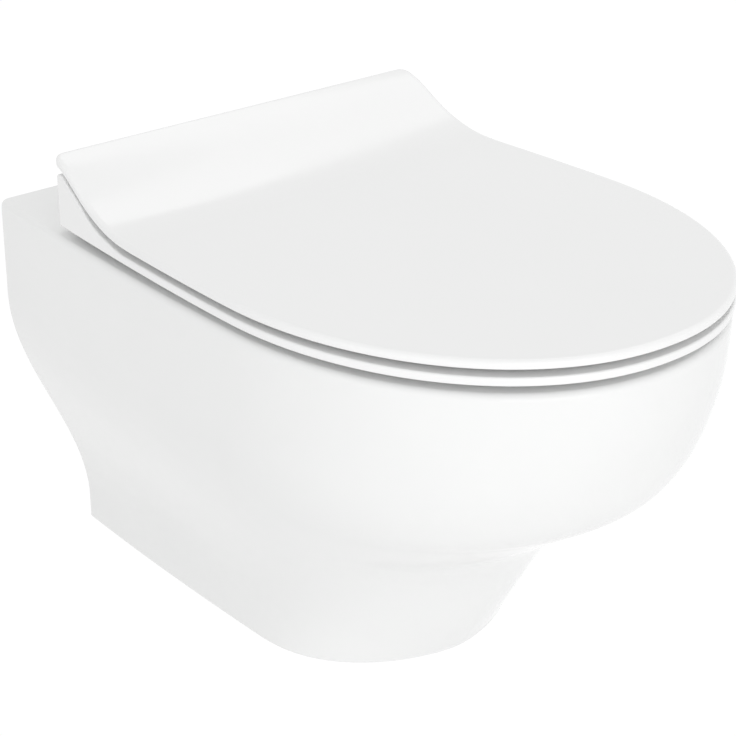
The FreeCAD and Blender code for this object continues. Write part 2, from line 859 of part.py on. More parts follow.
def seat_ring():
    plan = plan_prism(seat_underside - 1.0, hinge_height + 40.0, 0.0)
    profiled = slab_between(seat_floor_line(), cheek_line(), -200.0, 200.0).common(plan)
    middle_band = box(-cheek_inner, cheek_inner, 0.0, seat_front_reach + 10.0,
                      seat_top, hinge_height + 40.0)
    body = profiled.cut(middle_band)
    opening = Part.Face(oval_wire(seat_opening_half_width, seat_opening_rear, seat_opening_front,
                                  seat_underside - 2.0)).extrude(Vector(0, 0, 30.0))
    body = body.cut(opening)
    pocket_corners = [
        (cheek_pocket_rear, seat_underside - 1.0),
        (cheek_pocket_front, seat_underside - 1.0),
        (cheek_pocket_front, seat_top - 1.0),
        (cheek_pocket_rear, seat_top + cheek_pocket_height),
    ]
    for side in (-1, 1):
        parts = [
            box(bridge_half_width, cheek_inner, 0.0, notch_front_reach,
                seat_underside - 1.0, hinge_height + 20.0),
            across(damper_radius + damper_clearance, cheek_inner - 1.0,
                   cheek_inner + damper_length + damper_end_gap, hinge_reach, hinge_height),
            side_prism(pocket_corners, cheek_inner + cheek_skin, seat_half_width - cheek_pocket_margin),
        ]
        for part in parts:
            body = body.cut(part if side > 0 else mirrored(part))
        for place in (rear_buffer_place, front_buffer_place):
            body = body.cut(peg_hole(side * place[0], place[1], seat_underside))
    return body.removeSplitter()


def seat_buffer(place, side):
    x = side * place[0]
    reach = place[1]
    half = seat_buffer_length / 2 - seat_buffer_width / 2
    bar = box(x - seat_buffer_width / 2, x + seat_buffer_width / 2, reach - half, reach + half,
              rim_height, seat_underside)
    for end in (-1, 1):
        bar = bar.fuse(upright(seat_buffer_width / 2, x, reach + end * half, rim_height, seat_underside))
    bar = bar.fuse(peg(x, reach, seat_underside)).removeSplitter()
    bar.rotate(at(x, reach, 0), Vector(0, 0, 1), -side * place[2])
    return bar


def lid_buffer(side):
    x = side * lid_buffer_place[0]
    reach = lid_buffer_place[1]
    pad = upright(lid_buffer_radius, x, reach, seat_top, lid_underside)
    return pad.fuse(peg(x, reach, lid_underside))


def seat_bearing(damped):
    end = cheek_inner + (damper_length if damped else damper_length - bush_shortening)
    post_face = hinge_hole_spacing / 2 + post_width / 2
    body = across(damper_radius, cheek_inner, end, hinge_reach, hinge_height)
    collar = across(collar_radius, post_face + collar_gap, cheek_inner, hinge_reach, hinge_height)
    body = body.fuse(collar)
    if damped:
        cap = across(damper_radius - 1.4, end - 1.0, end - 0.5, hinge_reach, hinge_height)
        body = body.fuse(cap)
    deep = cheek_inner + damper_length - 2.0 if damped else end + 1.0
    bore = across(axle_radius + axle_running_clearance, post_face, deep, hinge_reach, hinge_height)
    return body.cut(bore).removeSplitter()


def lid_bearing(damped):
    start, end = knuckle_span()
    first = start if damped else start + 6.0
    body = across(lid_damper_radius, first, end - damper_floor, hinge_reach, hinge_height)
    inner = start + 1.5 if damped else first - 1.0
    return body.cut(across(axle_radius + axle_running_clearance, inner, end, hinge_reach, hinge_height))


# ---------------------------------------------------------------- one file per piece

def save_pair(shape, name):
    save(shape, name + "_right")
    save(mirrored(shape), name + "_left")


outside_solid = pan_outside()
save(pan_deck(outside_solid), "pan_deck")
save(pan_skirt(outside_solid), "pan_skirt")
save(pan_floor(outside_solid), "pan_floor")
save(pan_bowl(), "pan_bowl")
save(pan_trap(), "pan_trap")
save(pan_inlet(), "pan_inlet")
save(flush_spreader(), "flush_spreader")
save_pair(fixing_bracket(), "fixing_bracket")
save_pair(stud_washer(), "stud_washer")
save_pair(stud_nut(), "stud_nut")
save_pair(clamp_washer_disc(), "clamp_washer")
save_pair(clamp_screw(), "clamp_screw")
save_pair(base_gasket(), "base_gasket")
save_pair(hinge_base(), "hinge_base")
save_pair(fixing_bolt(), "fixing_bolt")
save_pair(deck_plug(), "deck_plug")
save_pair(plug_nut(), "plug_nut")
save_pair(hinge_post(), "hinge_post")
save_pair(hinge_axle(), "hinge_axle")
save(seat_ring(), "seat_ring")
save(mirrored(seat_bearing(True)), "seat_damper")
save(seat_bearing(False), "seat_bush")
for side_name, side in (("left", -1), ("right", 1)):
    save(seat_buffer(rear_buffer_place, side), "seat_buffer_rear_" + side_name)
    save(seat_buffer(front_buffer_place, side), "seat_buffer_front_" + side_name)
    save(lid_buffer(side), "lid_buffer_" + side_name)
save(lid(), "lid")
save(lid_bearing(True), "lid_damper")
save(mirrored(lid_bearing(False)), "lid_bush")
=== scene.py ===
import math
import bmesh
import bpy
import numpy as np
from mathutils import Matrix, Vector


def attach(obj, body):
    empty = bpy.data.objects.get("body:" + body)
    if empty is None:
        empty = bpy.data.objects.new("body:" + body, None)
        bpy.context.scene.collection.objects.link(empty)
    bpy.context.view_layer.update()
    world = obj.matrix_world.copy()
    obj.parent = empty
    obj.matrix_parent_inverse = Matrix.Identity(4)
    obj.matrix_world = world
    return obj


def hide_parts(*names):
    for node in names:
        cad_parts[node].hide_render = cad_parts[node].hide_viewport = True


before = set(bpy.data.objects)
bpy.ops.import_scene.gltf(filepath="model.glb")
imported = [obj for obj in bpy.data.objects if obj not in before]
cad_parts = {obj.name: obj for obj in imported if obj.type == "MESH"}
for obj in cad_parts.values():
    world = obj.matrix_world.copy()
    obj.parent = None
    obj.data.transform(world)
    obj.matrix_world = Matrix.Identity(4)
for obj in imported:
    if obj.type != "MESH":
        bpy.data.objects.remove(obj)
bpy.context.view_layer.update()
mm = 0.001
scene = bpy.context.scene


def at(x, reach, z):
    # reach is the distance out from the wall, so y is minus reach; all lengths are in mm
    return Vector((x * mm, -reach * mm, z * mm))


def smoothCurve(points, count):
    # natural cubic through the points, spaced by the distance between them
    spots = np.array(points, float)
    gaps = np.linalg.norm(np.diff(spots, axis=0), axis=1)
    stations = np.concatenate([[0.0], np.cumsum(gaps)])
    size = len(spots)
    system = np.eye(size)
    right = np.zeros_like(spots)
    for i in range(1, size - 1):
        system[i, i - 1] = gaps[i - 1]
        system[i, i] = 2.0 * (gaps[i - 1] + gaps[i])
        system[i, i + 1] = gaps[i]
        right[i] = 6.0 * ((spots[i + 1] - spots[i]) / gaps[i] - (spots[i] - spots[i - 1]) / gaps[i - 1])
    bend = np.linalg.solve(system, right)
    places = np.linspace(0.0, stations[-1], count)
    cell = np.clip(np.searchsorted(stations, places, side="right") - 1, 0, size - 2)
    h = gaps[cell][:, None]
    a = (stations[cell + 1] - places)[:, None]
    b = (places - stations[cell])[:, None]
    return (bend[cell] * a ** 3 / (6 * h) + bend[cell + 1] * b ** 3 / (6 * h)
            + (spots[cell] / h - bend[cell] * h / 6) * a + (spots[cell + 1] / h - bend[cell + 1] * h / 6) * b)


def riseOf(ramp, distance):
    line = smoothCurve(ramp, 400)
    return np.interp(distance, line[:, 0], line[:, 1], right=0.0)


def placed(name, data):
    thing = bpy.data.objects.new(name, data)
    scene.collection.objects.link(thing)
    return thing


def newPiece(name, points, faces):
    mesh = bpy.data.meshes.new(name)
    mesh.from_pydata([tuple(p) for p in points], [], faces)
    mesh.validate()
    piece = placed(name, mesh)
    faceOutwards(piece)
    return piece


def faceOutwards(piece):
    work = bmesh.new()
    work.from_mesh(piece.data)
    bmesh.ops.recalc_face_normals(work, faces=work.faces)
    work.to_mesh(piece.data)
    work.free()


def ringSolid(name, rings):
    # rings of equal count joined in order, with a flat face on the first and the last
    count = len(rings[0])
    points = [p for ring in rings for p in ring]
    faces = []
    for r in range(len(rings) - 1):
        for c in range(count):
            n = (c + 1) % count
            faces.append((r * count + c, r * count + n, (r + 1) * count + n, (r + 1) * count + c))
    faces.append(tuple(range(count))[::-1])
    faces.append(tuple((len(rings) - 1) * count + c for c in range(count)))
    return newPiece(name, points, faces)


def applied(piece):
    # the piece as its modifiers leave it, as a plain mesh
    view = bpy.context.evaluated_depsgraph_get()
    view.update()
    mesh = bpy.data.meshes.new_from_object(piece.evaluated_get(view), depsgraph=view)
    piece.modifiers.clear()
    old = piece.data
    piece.data = mesh
    bpy.data.meshes.remove(old)
    mesh.name = piece.name
    return piece


def cut(piece, tools, how="DIFFERENCE"):
    for tool in tools:
        change = piece.modifiers.new(how, "BOOLEAN")
        change.operation = how
        change.solver = "MANIFOLD"
        change.object = tool
        applied(piece)
        toolMesh = tool.data
        bpy.data.objects.remove(tool)
        bpy.data.meshes.remove(toolMesh)
    return piece


def rod(radius, start, end, chamfer=0.0, steps=72):
    # a round bar between two points, with a small chamfer at its ends
    start = Vector(start)
    end = Vector(end)
    along = (end - start).normalized()
    side = along.orthogonal().normalized()
    other = along.cross(side)
    stops = [(0.0, radius - chamfer), (chamfer, radius), ((end - start).length / mm - chamfer, radius),
             ((end - start).length / mm, radius - chamfer)]
    if chamfer == 0.0:
        stops = [stops[0], stops[3]]
    rings = []
    for distance, r in stops:
        ring = []
        for s in range(steps):
            a = 2 * math.pi * s / steps
            ring.append(start + along * distance * mm + (side * math.cos(a) + other * math.sin(a)) * r * mm)
        rings.append(ring)
    return ringSolid("tool", rings)


def block(x0, x1, reach0, reach1, z0, z1):
    rings = [[at(x0, reach0, z), at(x1, reach0, z), at(x1, reach1, z), at(x0, reach1, z)] for z in (z0, z1)]
    return ringSolid("tool", rings)


def sideBlock(points, x0, x1):
    return ringSolid("tool", [[at(x, reach, z) for reach, z in points] for x in (x0, x1)])


def painted(piece, *materials):
    piece.data.materials.clear()
    for material in materials:
        piece.data.materials.append(material)


def finishShading(piece, angle=32.0):
    for face in piece.data.polygons:
        face.use_smooth = True
    piece.data.set_sharp_from_angle(angle=math.radians(angle))
    even = piece.modifiers.new("evenNormals", "WEIGHTED_NORMAL")
    even.keep_sharp = True
    even.weight = 100
    return piece


def addNode(tree, kind, inputs=None, **settings):
    # a node with its settings, each input linked to a socket or set to a value
    node = tree.nodes.new(kind)
    for name, value in settings.items():
        setattr(node, name, value)
    for label, value in (inputs or {}).items():
        value = value.socket if isinstance(value, Term) else value
        if isinstance(value, bpy.types.NodeSocket):
            tree.links.new(value, node.inputs[label])
        else:
            node.inputs[label].default_value = value
    return node


class Term:
    # a number inside a node tree, so that a rule can be written as an ordinary sum

    def __init__(self, tree, socket):
        self.tree = tree
        self.socket = socket

    def join(self, kind, *others):
        node = addNode(self.tree, "ShaderNodeMath", dict(enumerate((self,) + others)), operation=kind)
        return Term(self.tree, node.outputs[0])

    def __add__(self, other):
        return self.join("ADD", other)

    def __sub__(self, other):
        return self.join("SUBTRACT", other)

    def __rsub__(self, other):
        return self.join("MULTIPLY", -1.0).join("ADD", other)

    def __mul__(self, other):
        return self.join("MULTIPLY", other)

    def __truediv__(self, other):
        return self.join("DIVIDE", other)

    def __rtruediv__(self, other):
        return self.join("POWER", -1.0).join("MULTIPLY", other)

    def __pow__(self, other):
        return self.join("POWER", other)

    def atMost(self, other):
        return self.join("MINIMUM", other)

    def atLeast(self, other):
        return self.join("MAXIMUM", other)

    def eased(self, start, end, low, high):
        # goes smoothly from low to high while this number goes from start to end
        share = ((self - start) / (end - start)).atLeast(0.0).atMost(1.0)
        share = share * share * (3.0 - share * 2.0)
        return low + (high - low) * share if isinstance(low, Term) else share * (high - low) + low


def newTree(name, inputs):
    # inputs holds (name, kind, default) and the tree always takes and gives a Geometry
    tree = bpy.data.node_groups.new(name, "GeometryNodeTree")
    tree.interface.new_socket("Geometry", in_out="INPUT", socket_type="NodeSocketGeometry")
    for label, kind, value in inputs:
        socket = tree.interface.new_socket(label, in_out="INPUT", socket_type="NodeSocket" + kind)
        if value is not None:
            socket.default_value = value
    tree.interface.new_socket("Geometry", in_out="OUTPUT", socket_type="NodeSocketGeometry")
    source = tree.nodes.new("NodeGroupInput")
    finish = tree.nodes.new("NodeGroupOutput")
    return tree, source, finish


def endTree(tree, geometry, material, finish):
    real = addNode(tree, "GeometryNodeRealizeInstances", {"Geometry": geometry})
    paint = addNode(tree, "GeometryNodeSetMaterial", {"Geometry": real.outputs["Geometry"], "Material": material})
    tree.links.new(paint.outputs["Geometry"], finish.inputs["Geometry"])


def onAxis(tree, axis, value):
    return addNode(tree, "ShaderNodeCombineXYZ", {axis: value}).outputs[0]


def grown(piece, tree, values):
    # runs the tree on the piece and keeps what it makes as a plain mesh
    change = piece.modifiers.new(tree.name, "NODES")
    change.node_group = tree
    for item in tree.interface.items_tree:
        if item.item_type == "SOCKET" and item.in_out == "INPUT" and item.name in values:
            change[item.identifier] = values[item.name]
    return applied(piece)


pan = {
    "rim": 78.0,
    "drop": 218.0,
    "halfWidth": 179.4,
    "footHalfWidth": 107.6,
    "wallHalfWidth": 164.2,
    "wallFootHalfWidth": 100.9,
    "frontReach": 539.5,
    "footFrontReach": 346.5,
    "widestReach": 310.0,
    "footWidestReach": 236.0,
    "flareStart": 19.4,
    "flareEnd": 75.1,
    "fullHeight": 32.6,
    "footSidePower": 1.67,
    "rimSidePower": 2.07,
    "footNosePower": 2.49,
    "rimNosePower": 2.12,
    "rearTaper": 2.27,
    "edge": 5.0,
    "footEdge": 2.5,
    "rearEdge": 2.0,
    "wall": 11.0,
    "deck": 12.0,
    "floor": 12.0,
    "rows": 150,
    "hollowRows": 60,
    "columns": 261,
    "profileSamples": 3000,
    "edgeSteps": 7,
    "hollowRear": -5.0,
}
frontProfile = [(38.0, 3.3), (78.0, 14.6), (110.0, 28.5), (124.8, 39.6), (139.3, 59.3),
                (162.1, 91.7), (179.9, 116.2), (205.9, 139.4), (248.0, 163.5)]


panSkinInputs = [
    ("Columns", "Int", 200), ("Half Width", "Float", 0.18), ("Foot Half Width", "Float", 0.11),
    ("Wall Half Width", "Float", 0.16), ("Wall Foot Half Width", "Float", 0.1),
    ("Widest Reach", "Float", 0.3), ("Foot Widest Reach", "Float", 0.24), ("Rear Reach", "Float", 0.0),
    ("Rear Edge", "Float", 0.002), ("Foot Height", "Float", -0.2), ("Rim Height", "Float", 0.08),
    ("Flare Start", "Float", 0.01), ("Flare End", "Float", 0.07), ("Full Height", "Float", 0.02),
    ("Rear Taper", "Float", 2.3), ("Foot Side Power", "Float", 1.7), ("Rim Side Power", "Float", 2.1),
    ("Foot Nose Power", "Float", 2.5), ("Rim Nose Power", "Float", 2.1), ("Material", "Material", None),
]


def panSkinTree():
    # a grid wrapped round the pan: rows follow the front profile, columns follow the U shaped outline
    tree, source, finish = newTree("panSkin", panSkinInputs)
    size = {label: Term(tree, source.outputs[label]) for label, kind, _ in panSkinInputs if kind != "Material"}
    points = source.outputs["Geometry"]
    count = addNode(tree, "GeometryNodeAttributeDomainSize", {"Geometry": points}).outputs["Point Count"]
    grid = addNode(tree, "GeometryNodeMeshGrid", {
        "Size X": 1.0, "Size Y": 1.0, "Vertices X": count, "Vertices Y": size["Columns"]})
    where = addNode(tree, "GeometryNodeInputPosition")
    apart = addNode(tree, "ShaderNodeSeparateXYZ", {0: where.outputs[0]})
    row = (Term(tree, apart.outputs[0]) + 0.5) * (Term(tree, count) - 1.0)
    spot = addNode(tree, "GeometryNodeInputPosition")
    pick = addNode(tree, "GeometryNodeSampleIndex", {
        "Geometry": points, "Value": spot.outputs[0], "Index": row.join("ROUND")}, data_type="FLOAT_VECTOR")
    profile = addNode(tree, "ShaderNodeSeparateXYZ", {0: pick.outputs[0]})
    front, inset, height = (Term(tree, profile.outputs[axis]) for axis in range(3))

    across = Term(tree, apart.outputs[1])
    reached = 1.0 - (across * 2.0).join("ABSOLUTE")   # 0 at the wall, 1 at the front
    turn = 0.42      # the share of the columns that runs along a side
    packing = 1.6    # draws those columns towards the wall
    share = (reached / turn).atMost(1.0) ** packing
    angle = ((reached - turn) / (1.0 - turn)).atLeast(0.0) * (math.pi / 2)

    flareLow = size["Foot Height"] + size["Flare Start"]
    flareHigh = size["Rim Height"] - size["Flare End"]
    widest = height.eased(flareLow, flareHigh, size["Foot Half Width"], size["Half Width"])
    rear = height.eased(flareLow, flareHigh, size["Wall Foot Half Width"], size["Wall Half Width"])
    foot, full = size["Foot Height"], size["Full Height"]
    fullness = height.eased(foot, full, 0.0, 1.0)
    centre = height.eased(foot, full, size["Foot Widest Reach"], size["Widest Reach"])
    sidePower = size["Foot Side Power"] + (size["Rim Side Power"] - size["Foot Side Power"]) * fullness
    nosePower = size["Foot Nose Power"] + (size["Rim Nose Power"] - size["Foot Nose Power"]) * fullness

    turned = angle.join("COSINE").atLeast(0.0) ** (2.0 / sidePower)
    nose = angle.join("SINE") ** (2.0 / nosePower)
    reach = size["Rear Reach"] * (1.0 - share) + centre * share + (front - centre) * nose
    near = (size["Rear Edge"] - reach).atLeast(0.0).atMost(size["Rear Edge"])
    rounding = size["Rear Edge"] - (size["Rear Edge"] * size["Rear Edge"] - near * near).atLeast(0.0) ** 0.5
    side = widest - (widest - rear) * (1.0 - share) ** size["Rear Taper"] - inset
    side = side - (widest - inset) * (1.0 - turned) - rounding
    place = addNode(tree, "ShaderNodeCombineXYZ", {0: side * across.join("SIGN"), 1: reach * -1.0, 2: height})
    move = addNode(tree, "GeometryNodeSetPosition", {
        "Geometry": grid.outputs["Mesh"], "Position": place.outputs[0]})
    endTree(tree, move.outputs["Geometry"], source.outputs["Material"], finish)
    return tree


def profileRows(inset, top, bottom, edge, footEdge, count):
    # the pan's front profile from top to bottom as (front reach, inset, height), moved inward by inset
    points = [(pan["frontReach"], pan["rim"])]
    points += [(pan["frontReach"] - back, pan["rim"] - drop) for drop, back in frontProfile]
    points.append((pan["footFrontReach"], -pan["drop"]))
    line = smoothCurve(points, pan["profileSamples"])
    along = np.gradient(line, axis=0)
    along /= np.linalg.norm(along, axis=1)[:, None]
    line = line + inset * np.stack([along[:, 1], -along[:, 0]], axis=1)
    line = line[(line[:, 1] < top - edge) & (line[:, 1] > bottom + footEdge)]
    station = np.concatenate([[0.0], np.cumsum(np.linalg.norm(np.diff(line, axis=0), axis=1))])
    even = np.linspace(0.0, station[-1], count)
    front = np.interp(even, station, line[:, 0])
    height = np.interp(even, station, line[:, 1])
    rows = []
    steps = pan["edgeSteps"] if edge else 0
    for s in range(steps):
        a = math.pi / 2 * (1.0 - s / steps)
        rows.append((front[0] - edge * (1 - math.cos(a)), inset + edge * (1 - math.cos(a)),
                     top - edge + edge * math.sin(a)))
    height[0] = top - edge
    height[-1] = bottom + footEdge
    rows += [(f, inset, h) for f, h in zip(front, height)]
    for s in range(1, steps + 1):
        a = math.pi / 2 * s / steps
        rows.append((front[-1] - footEdge * (1 - math.cos(a)), inset + footEdge * (1 - math.cos(a)),
                     bottom + footEdge * (1 - math.sin(a))))
    return rows


def keyOf(label):
    # the name in a dictionary of values for an input's label
    return label[0].lower() + label[1:].replace(" ", "")


def panBody(tree, name, rows, rearReach, rearEdge, material):
    # wraps the grid on the profile and closes its top, bottom and back with flat faces
    mesh = bpy.data.meshes.new(name)
    mesh.from_pydata([(f * mm, i * mm, h * mm) for f, i, h in rows], [], [])
    piece = placed(name, mesh)
    values = {"Columns": pan["columns"], "Rear Reach": rearReach * mm, "Rear Edge": rearEdge * mm,
              "Foot Height": -pan["drop"] * mm, "Rim Height": pan["rim"] * mm, "Material": material}
    for label in ("Half Width", "Foot Half Width", "Wall Half Width", "Wall Foot Half Width", "Widest Reach",
                  "Foot Widest Reach", "Flare Start", "Flare End", "Full Height"):
        values[label] = pan[keyOf(label)] * mm
    for label in ("Rear Taper", "Foot Side Power", "Rim Side Power", "Foot Nose Power", "Rim Nose Power"):
        values[label] = pan[keyOf(label)]
    grown(piece, tree, values)
    work = bmesh.new()
    work.from_mesh(piece.data)
    work.verts.ensure_lookup_table()
    columns = pan["columns"]
    last = (len(rows) - 1) * columns
    top = [work.verts[c] for c in range(columns)]
    bottom = [work.verts[last + c] for c in range(columns)]
    left = [work.verts[r * columns] for r in range(len(rows))]
    right = [work.verts[r * columns + columns - 1] for r in range(len(rows))]
    work.faces.new(top)
    work.faces.new(bottom)
    work.faces.new(left + right[::-1])
    bmesh.ops.recalc_face_normals(work, faces=work.faces)
    work.to_mesh(piece.data)
    work.free()
    return piece


bowl = {
    # drop under the rim, half width, rear edge, front edge
    "levels": [(-8.0, 134.0, 158.0, 494.0), (33.0, 133.5, 159.0, 493.0), (73.0, 128.0, 168.0, 482.0),
               (113.0, 107.0, 186.0, 435.0), (153.0, 79.0, 208.0, 376.0), (193.0, 51.0, 234.0, 336.0),
               (236.0, 29.0, 257.0, 313.0)],
    "wall": 10.0,
    "rimRound": 7.0,
    "around": 160,
    "down": 70,
    "power": 0.92,   # how square the ovals are
}


def ovalRing(half, rear, front, z):
    ring = []
    for s in range(bowl["around"]):
        a = 2 * math.pi * s / bowl["around"]
        c = math.copysign(abs(math.cos(a)) ** bowl["power"], math.cos(a))
        d = math.copysign(abs(math.sin(a)) ** bowl["power"], math.sin(a))
        ring.append(at(half * c, (rear + front) / 2 + (front - rear) / 2 * d, z))
    return ring


def bowlSolid(grow, name, rimRound=0.0):
    levels = [(drop, half + grow, rear - grow, front + grow) for drop, half, rear, front in bowl["levels"]]
    line = smoothCurve(levels, bowl["down"] * 4)
    drops = np.linspace(levels[0][0], levels[-1][0], bowl["down"])
    rows = []
    for drop in drops:
        half, rear, front = (np.interp(drop, line[:, 0], line[:, k]) for k in (1, 2, 3))
        if rimRound and drop < rimRound:
            continue
        rows.append((drop, half, rear, front))
    if rimRound:
        edge = []
        half, rear, front = (np.interp(rimRound, line[:, 0], line[:, k]) for k in (1, 2, 3))
        for s in range(9):
            a = math.pi / 2 * (1 - s / 8)
            out = rimRound * (1 - math.cos(a))
            edge.append((rimRound * (1 - math.sin(a)), half + out, rear - out, front + out))
        rows = [(levels[0][0],) + edge[0][1:]] + edge + rows
    return ringSolid(name, [ovalRing(half, rear, front, pan["rim"] - drop) for drop, half, rear, front in rows])


trap = {
    "radius": 28.0,
    "wall": 9.0,
    "startReach": 285.0,
    "turnReach": 250.0,
    "height": -150.0,
    "bend": 55.0,
    "crestBend": 50.0,
    "slope": math.radians(60.0),
    "climb": 62.0,
    "fall": math.radians(45.0),
}


def trapLine():
    # the middle of the trap as (reach, height) points from the sump to the outlet
    line = [(trap["startReach"], trap["height"])]

    def arc(middle, radius, first, last, steps=14):
        for s in range(steps + 1):
            a = first + (last - first) * s / steps
            line.append((middle[0] + radius * math.cos(a), middle[1] + radius * math.sin(a)))

    down = -math.pi / 2
    slope, fall, bend = trap["slope"], trap["fall"], trap["crestBend"]
    arc((trap["turnReach"], trap["height"] + trap["bend"]), trap["bend"], down, down - slope)
    reach, height = line[-1]
    reach -= trap["climb"] * math.cos(slope)
    height += trap["climb"] * math.sin(slope)
    crest = (reach - bend * math.sin(slope), height - bend * math.cos(slope))
    arc(crest, bend, math.pi / 2 - slope, math.pi / 2 + fall, 22)
    reach, height = line[-1]
    drop = height - water["outletHeight"] - bend * (1 - math.cos(fall))
    reach -= drop / math.tan(fall)
    height -= drop
    arc((reach - bend * math.sin(fall), height + bend * math.cos(fall)), bend, down + fall, down)
    line.append((water["recess"] + 2.0, water["outletHeight"]))
    return line


def tubeAlong(line, radius, steps=64):
    rings = []
    spots = np.array(line)
    ways = np.gradient(spots, axis=0)
    for (reach, height), (dr, dh) in zip(spots, ways):
        size = math.hypot(dr, dh)
        normal = (-dh / size, dr / size)
        ring = []
        for s in range(steps):
            a = 2 * math.pi * s / steps
            lift = radius * math.sin(a)
            ring.append(at(radius * math.cos(a), reach + normal[0] * lift, height + normal[1] * lift))
        rings.append(ring)
    return ringSolid("tool", rings)


def ball(radius, reach, height):
    work = bmesh.new()
    bmesh.ops.create_uvsphere(work, u_segments=64, v_segments=32, radius=radius * mm)
    bmesh.ops.translate(work, verts=work.verts, vec=at(0, reach, height))
    mesh = bpy.data.meshes.new("tool")
    work.to_mesh(mesh)
    work.free()
    return placed("tool", mesh)


def outward(radius, reach0, reach1, height, chamfer=0.0):
    return rod(radius, at(0.0, reach0, height), at(0.0, reach1, height), chamfer)


water = {
    "outletHeight": -100.0,
    "outletRadius": 51.0,
    "outletBore": 42.0,
    "recess": 8.0,
    "outletLength": 42.0,
    "outletTaper": 14.0,
    "inletHeight": 35.0,
    "inletBore": 27.5,
    "inletDepth": 42.0,
    "inletWall": 8.5,
    "channelBore": 16.0,
    "channelWall": 9.0,
    "spreaderSeat": 128.0,
    "spreaderBore": 20.0,
    "spreaderDepth": 55.0,
    "collarChamfer": 1.2,
}


def waterWays(line):
    coneStart = water["recess"] + water["outletLength"] - water["outletTaper"]
    coneEnd = coneStart + water["outletTaper"]
    inletEnd = water["recess"] + water["inletDepth"]
    spreaderEnd = water["spreaderSeat"] + water["spreaderDepth"]
    taper = []
    for reach, radius in ((coneStart, water["outletBore"]), (coneEnd, trap["radius"])):
        taper.append([at(radius * math.cos(2 * math.pi * s / 72), reach,
                         water["outletHeight"] + radius * math.sin(2 * math.pi * s / 72)) for s in range(72)])
    return [
        tubeAlong(line, trap["radius"]),
        ball(trap["radius"], trap["startReach"], trap["height"]),
        ringSolid("tool", taper),
        outward(water["outletBore"], -2.0, coneStart + 0.01, water["outletHeight"]),
        outward(water["inletBore"], -2.0, inletEnd, water["inletHeight"]),
        outward(water["channelBore"], inletEnd - 1.0, water["spreaderSeat"] + 0.5, water["inletHeight"]),
        outward(water["spreaderBore"], water["spreaderSeat"], spreaderEnd, water["inletHeight"]),
    ]


fixing = {
    "studSpacing": 180.0,
    "ledgeTop": -30.0,
    "ledgeThickness": 16.0,
    "ledgeInner": 62.0,
    "ledgeRear": 12.0,
    "ledgeFront": 62.0,
    "clampReach": 40.0,
    "clampHole": 7.0,
    "hingeSpacing": 155.0,
    "hingeReach": 126.0,
    "hingeHole": 7.0,
}


def makePan(glaze, bareClay):
    tree = panSkinTree()
    line = trapLine()
    rows = profileRows(0.0, pan["rim"], -pan["drop"], pan["edge"], pan["footEdge"], pan["rows"])
    outside = panBody(tree, "pan", rows, 0.0, pan["rearEdge"], glaze)
    rows = profileRows(pan["wall"], pan["rim"] - pan["deck"], -pan["drop"] + pan["floor"], 0.0, 0.0,
                       pan["hollowRows"])
    hollow = panBody(tree, "hollow", rows, pan["hollowRear"], 0.0, bareClay)
    ledge = (fixing["ledgeRear"], fixing["ledgeFront"], fixing["ledgeTop"] - fixing["ledgeThickness"],
             fixing["ledgeTop"])
    inletEnd = water["recess"] + water["inletDepth"] + water["inletWall"]
    inletOuter = water["inletBore"] + water["inletWall"]
    channelEnd = bowl["levels"][1][2] + 12.0
    chamfer = water["collarChamfer"]
    cut(hollow, [
        bowlSolid(bowl["wall"], "tool"),
        tubeAlong(line, trap["radius"] + trap["wall"]),
        ball(trap["radius"] + trap["wall"], trap["startReach"], trap["height"]),
        outward(water["outletRadius"], water["recess"], water["recess"] + water["outletLength"],
                water["outletHeight"], chamfer),
        outward(inletOuter, water["recess"], inletEnd, water["inletHeight"], chamfer),
        outward(water["spreaderBore"] + water["channelWall"], water["recess"] + 5.0, channelEnd,
                water["inletHeight"]),
        block(fixing["ledgeInner"], 200.0, *ledge),
        block(-200.0, -fixing["ledgeInner"], *ledge),
    ])
    holes = []
    for side in (-1, 1):
        hingeX = side * fixing["hingeSpacing"] / 2
        studX = side * fixing["studSpacing"] / 2
        holes.append(rod(fixing["hingeHole"], at(hingeX, fixing["hingeReach"], pan["rim"] - 20.0),
                         at(hingeX, fixing["hingeReach"], pan["rim"] + 5.0)))
        holes.append(rod(fixing["clampHole"], at(studX, fixing["clampReach"], fixing["ledgeTop"] - 22.0),
                         at(studX, fixing["clampReach"], fixing["ledgeTop"] + 5.0)))
    # the hollow and the ground back face stay unglazed
    painted(outside, glaze, bareClay)
    painted(hollow, glaze, bareClay)
    for face in hollow.data.polygons:
        face.material_index = 1
    cut(outside, [hollow, bowlSolid(0.0, "tool", bowl["rimRound"])] + waterWays(line) + holes)
    for face in outside.data.polygons:
        if face.normal.y > 0.9 and face.center.y > -0.5 * mm:
            face.material_index = 1
    return finishShading(outside)


plan = {
    "halfWidth": 180.0,
    "rearHalfWidth": 167.4,
    "rearReach": 84.9,
    "frontReach": 541.0,
    "widestReach": 316.0,
    "corner": 9.0,
    "sideTaper": 1.6,
    "sidePower": 2.09,
    "nosePower": 2.05,
    "hub": 320.0,
}


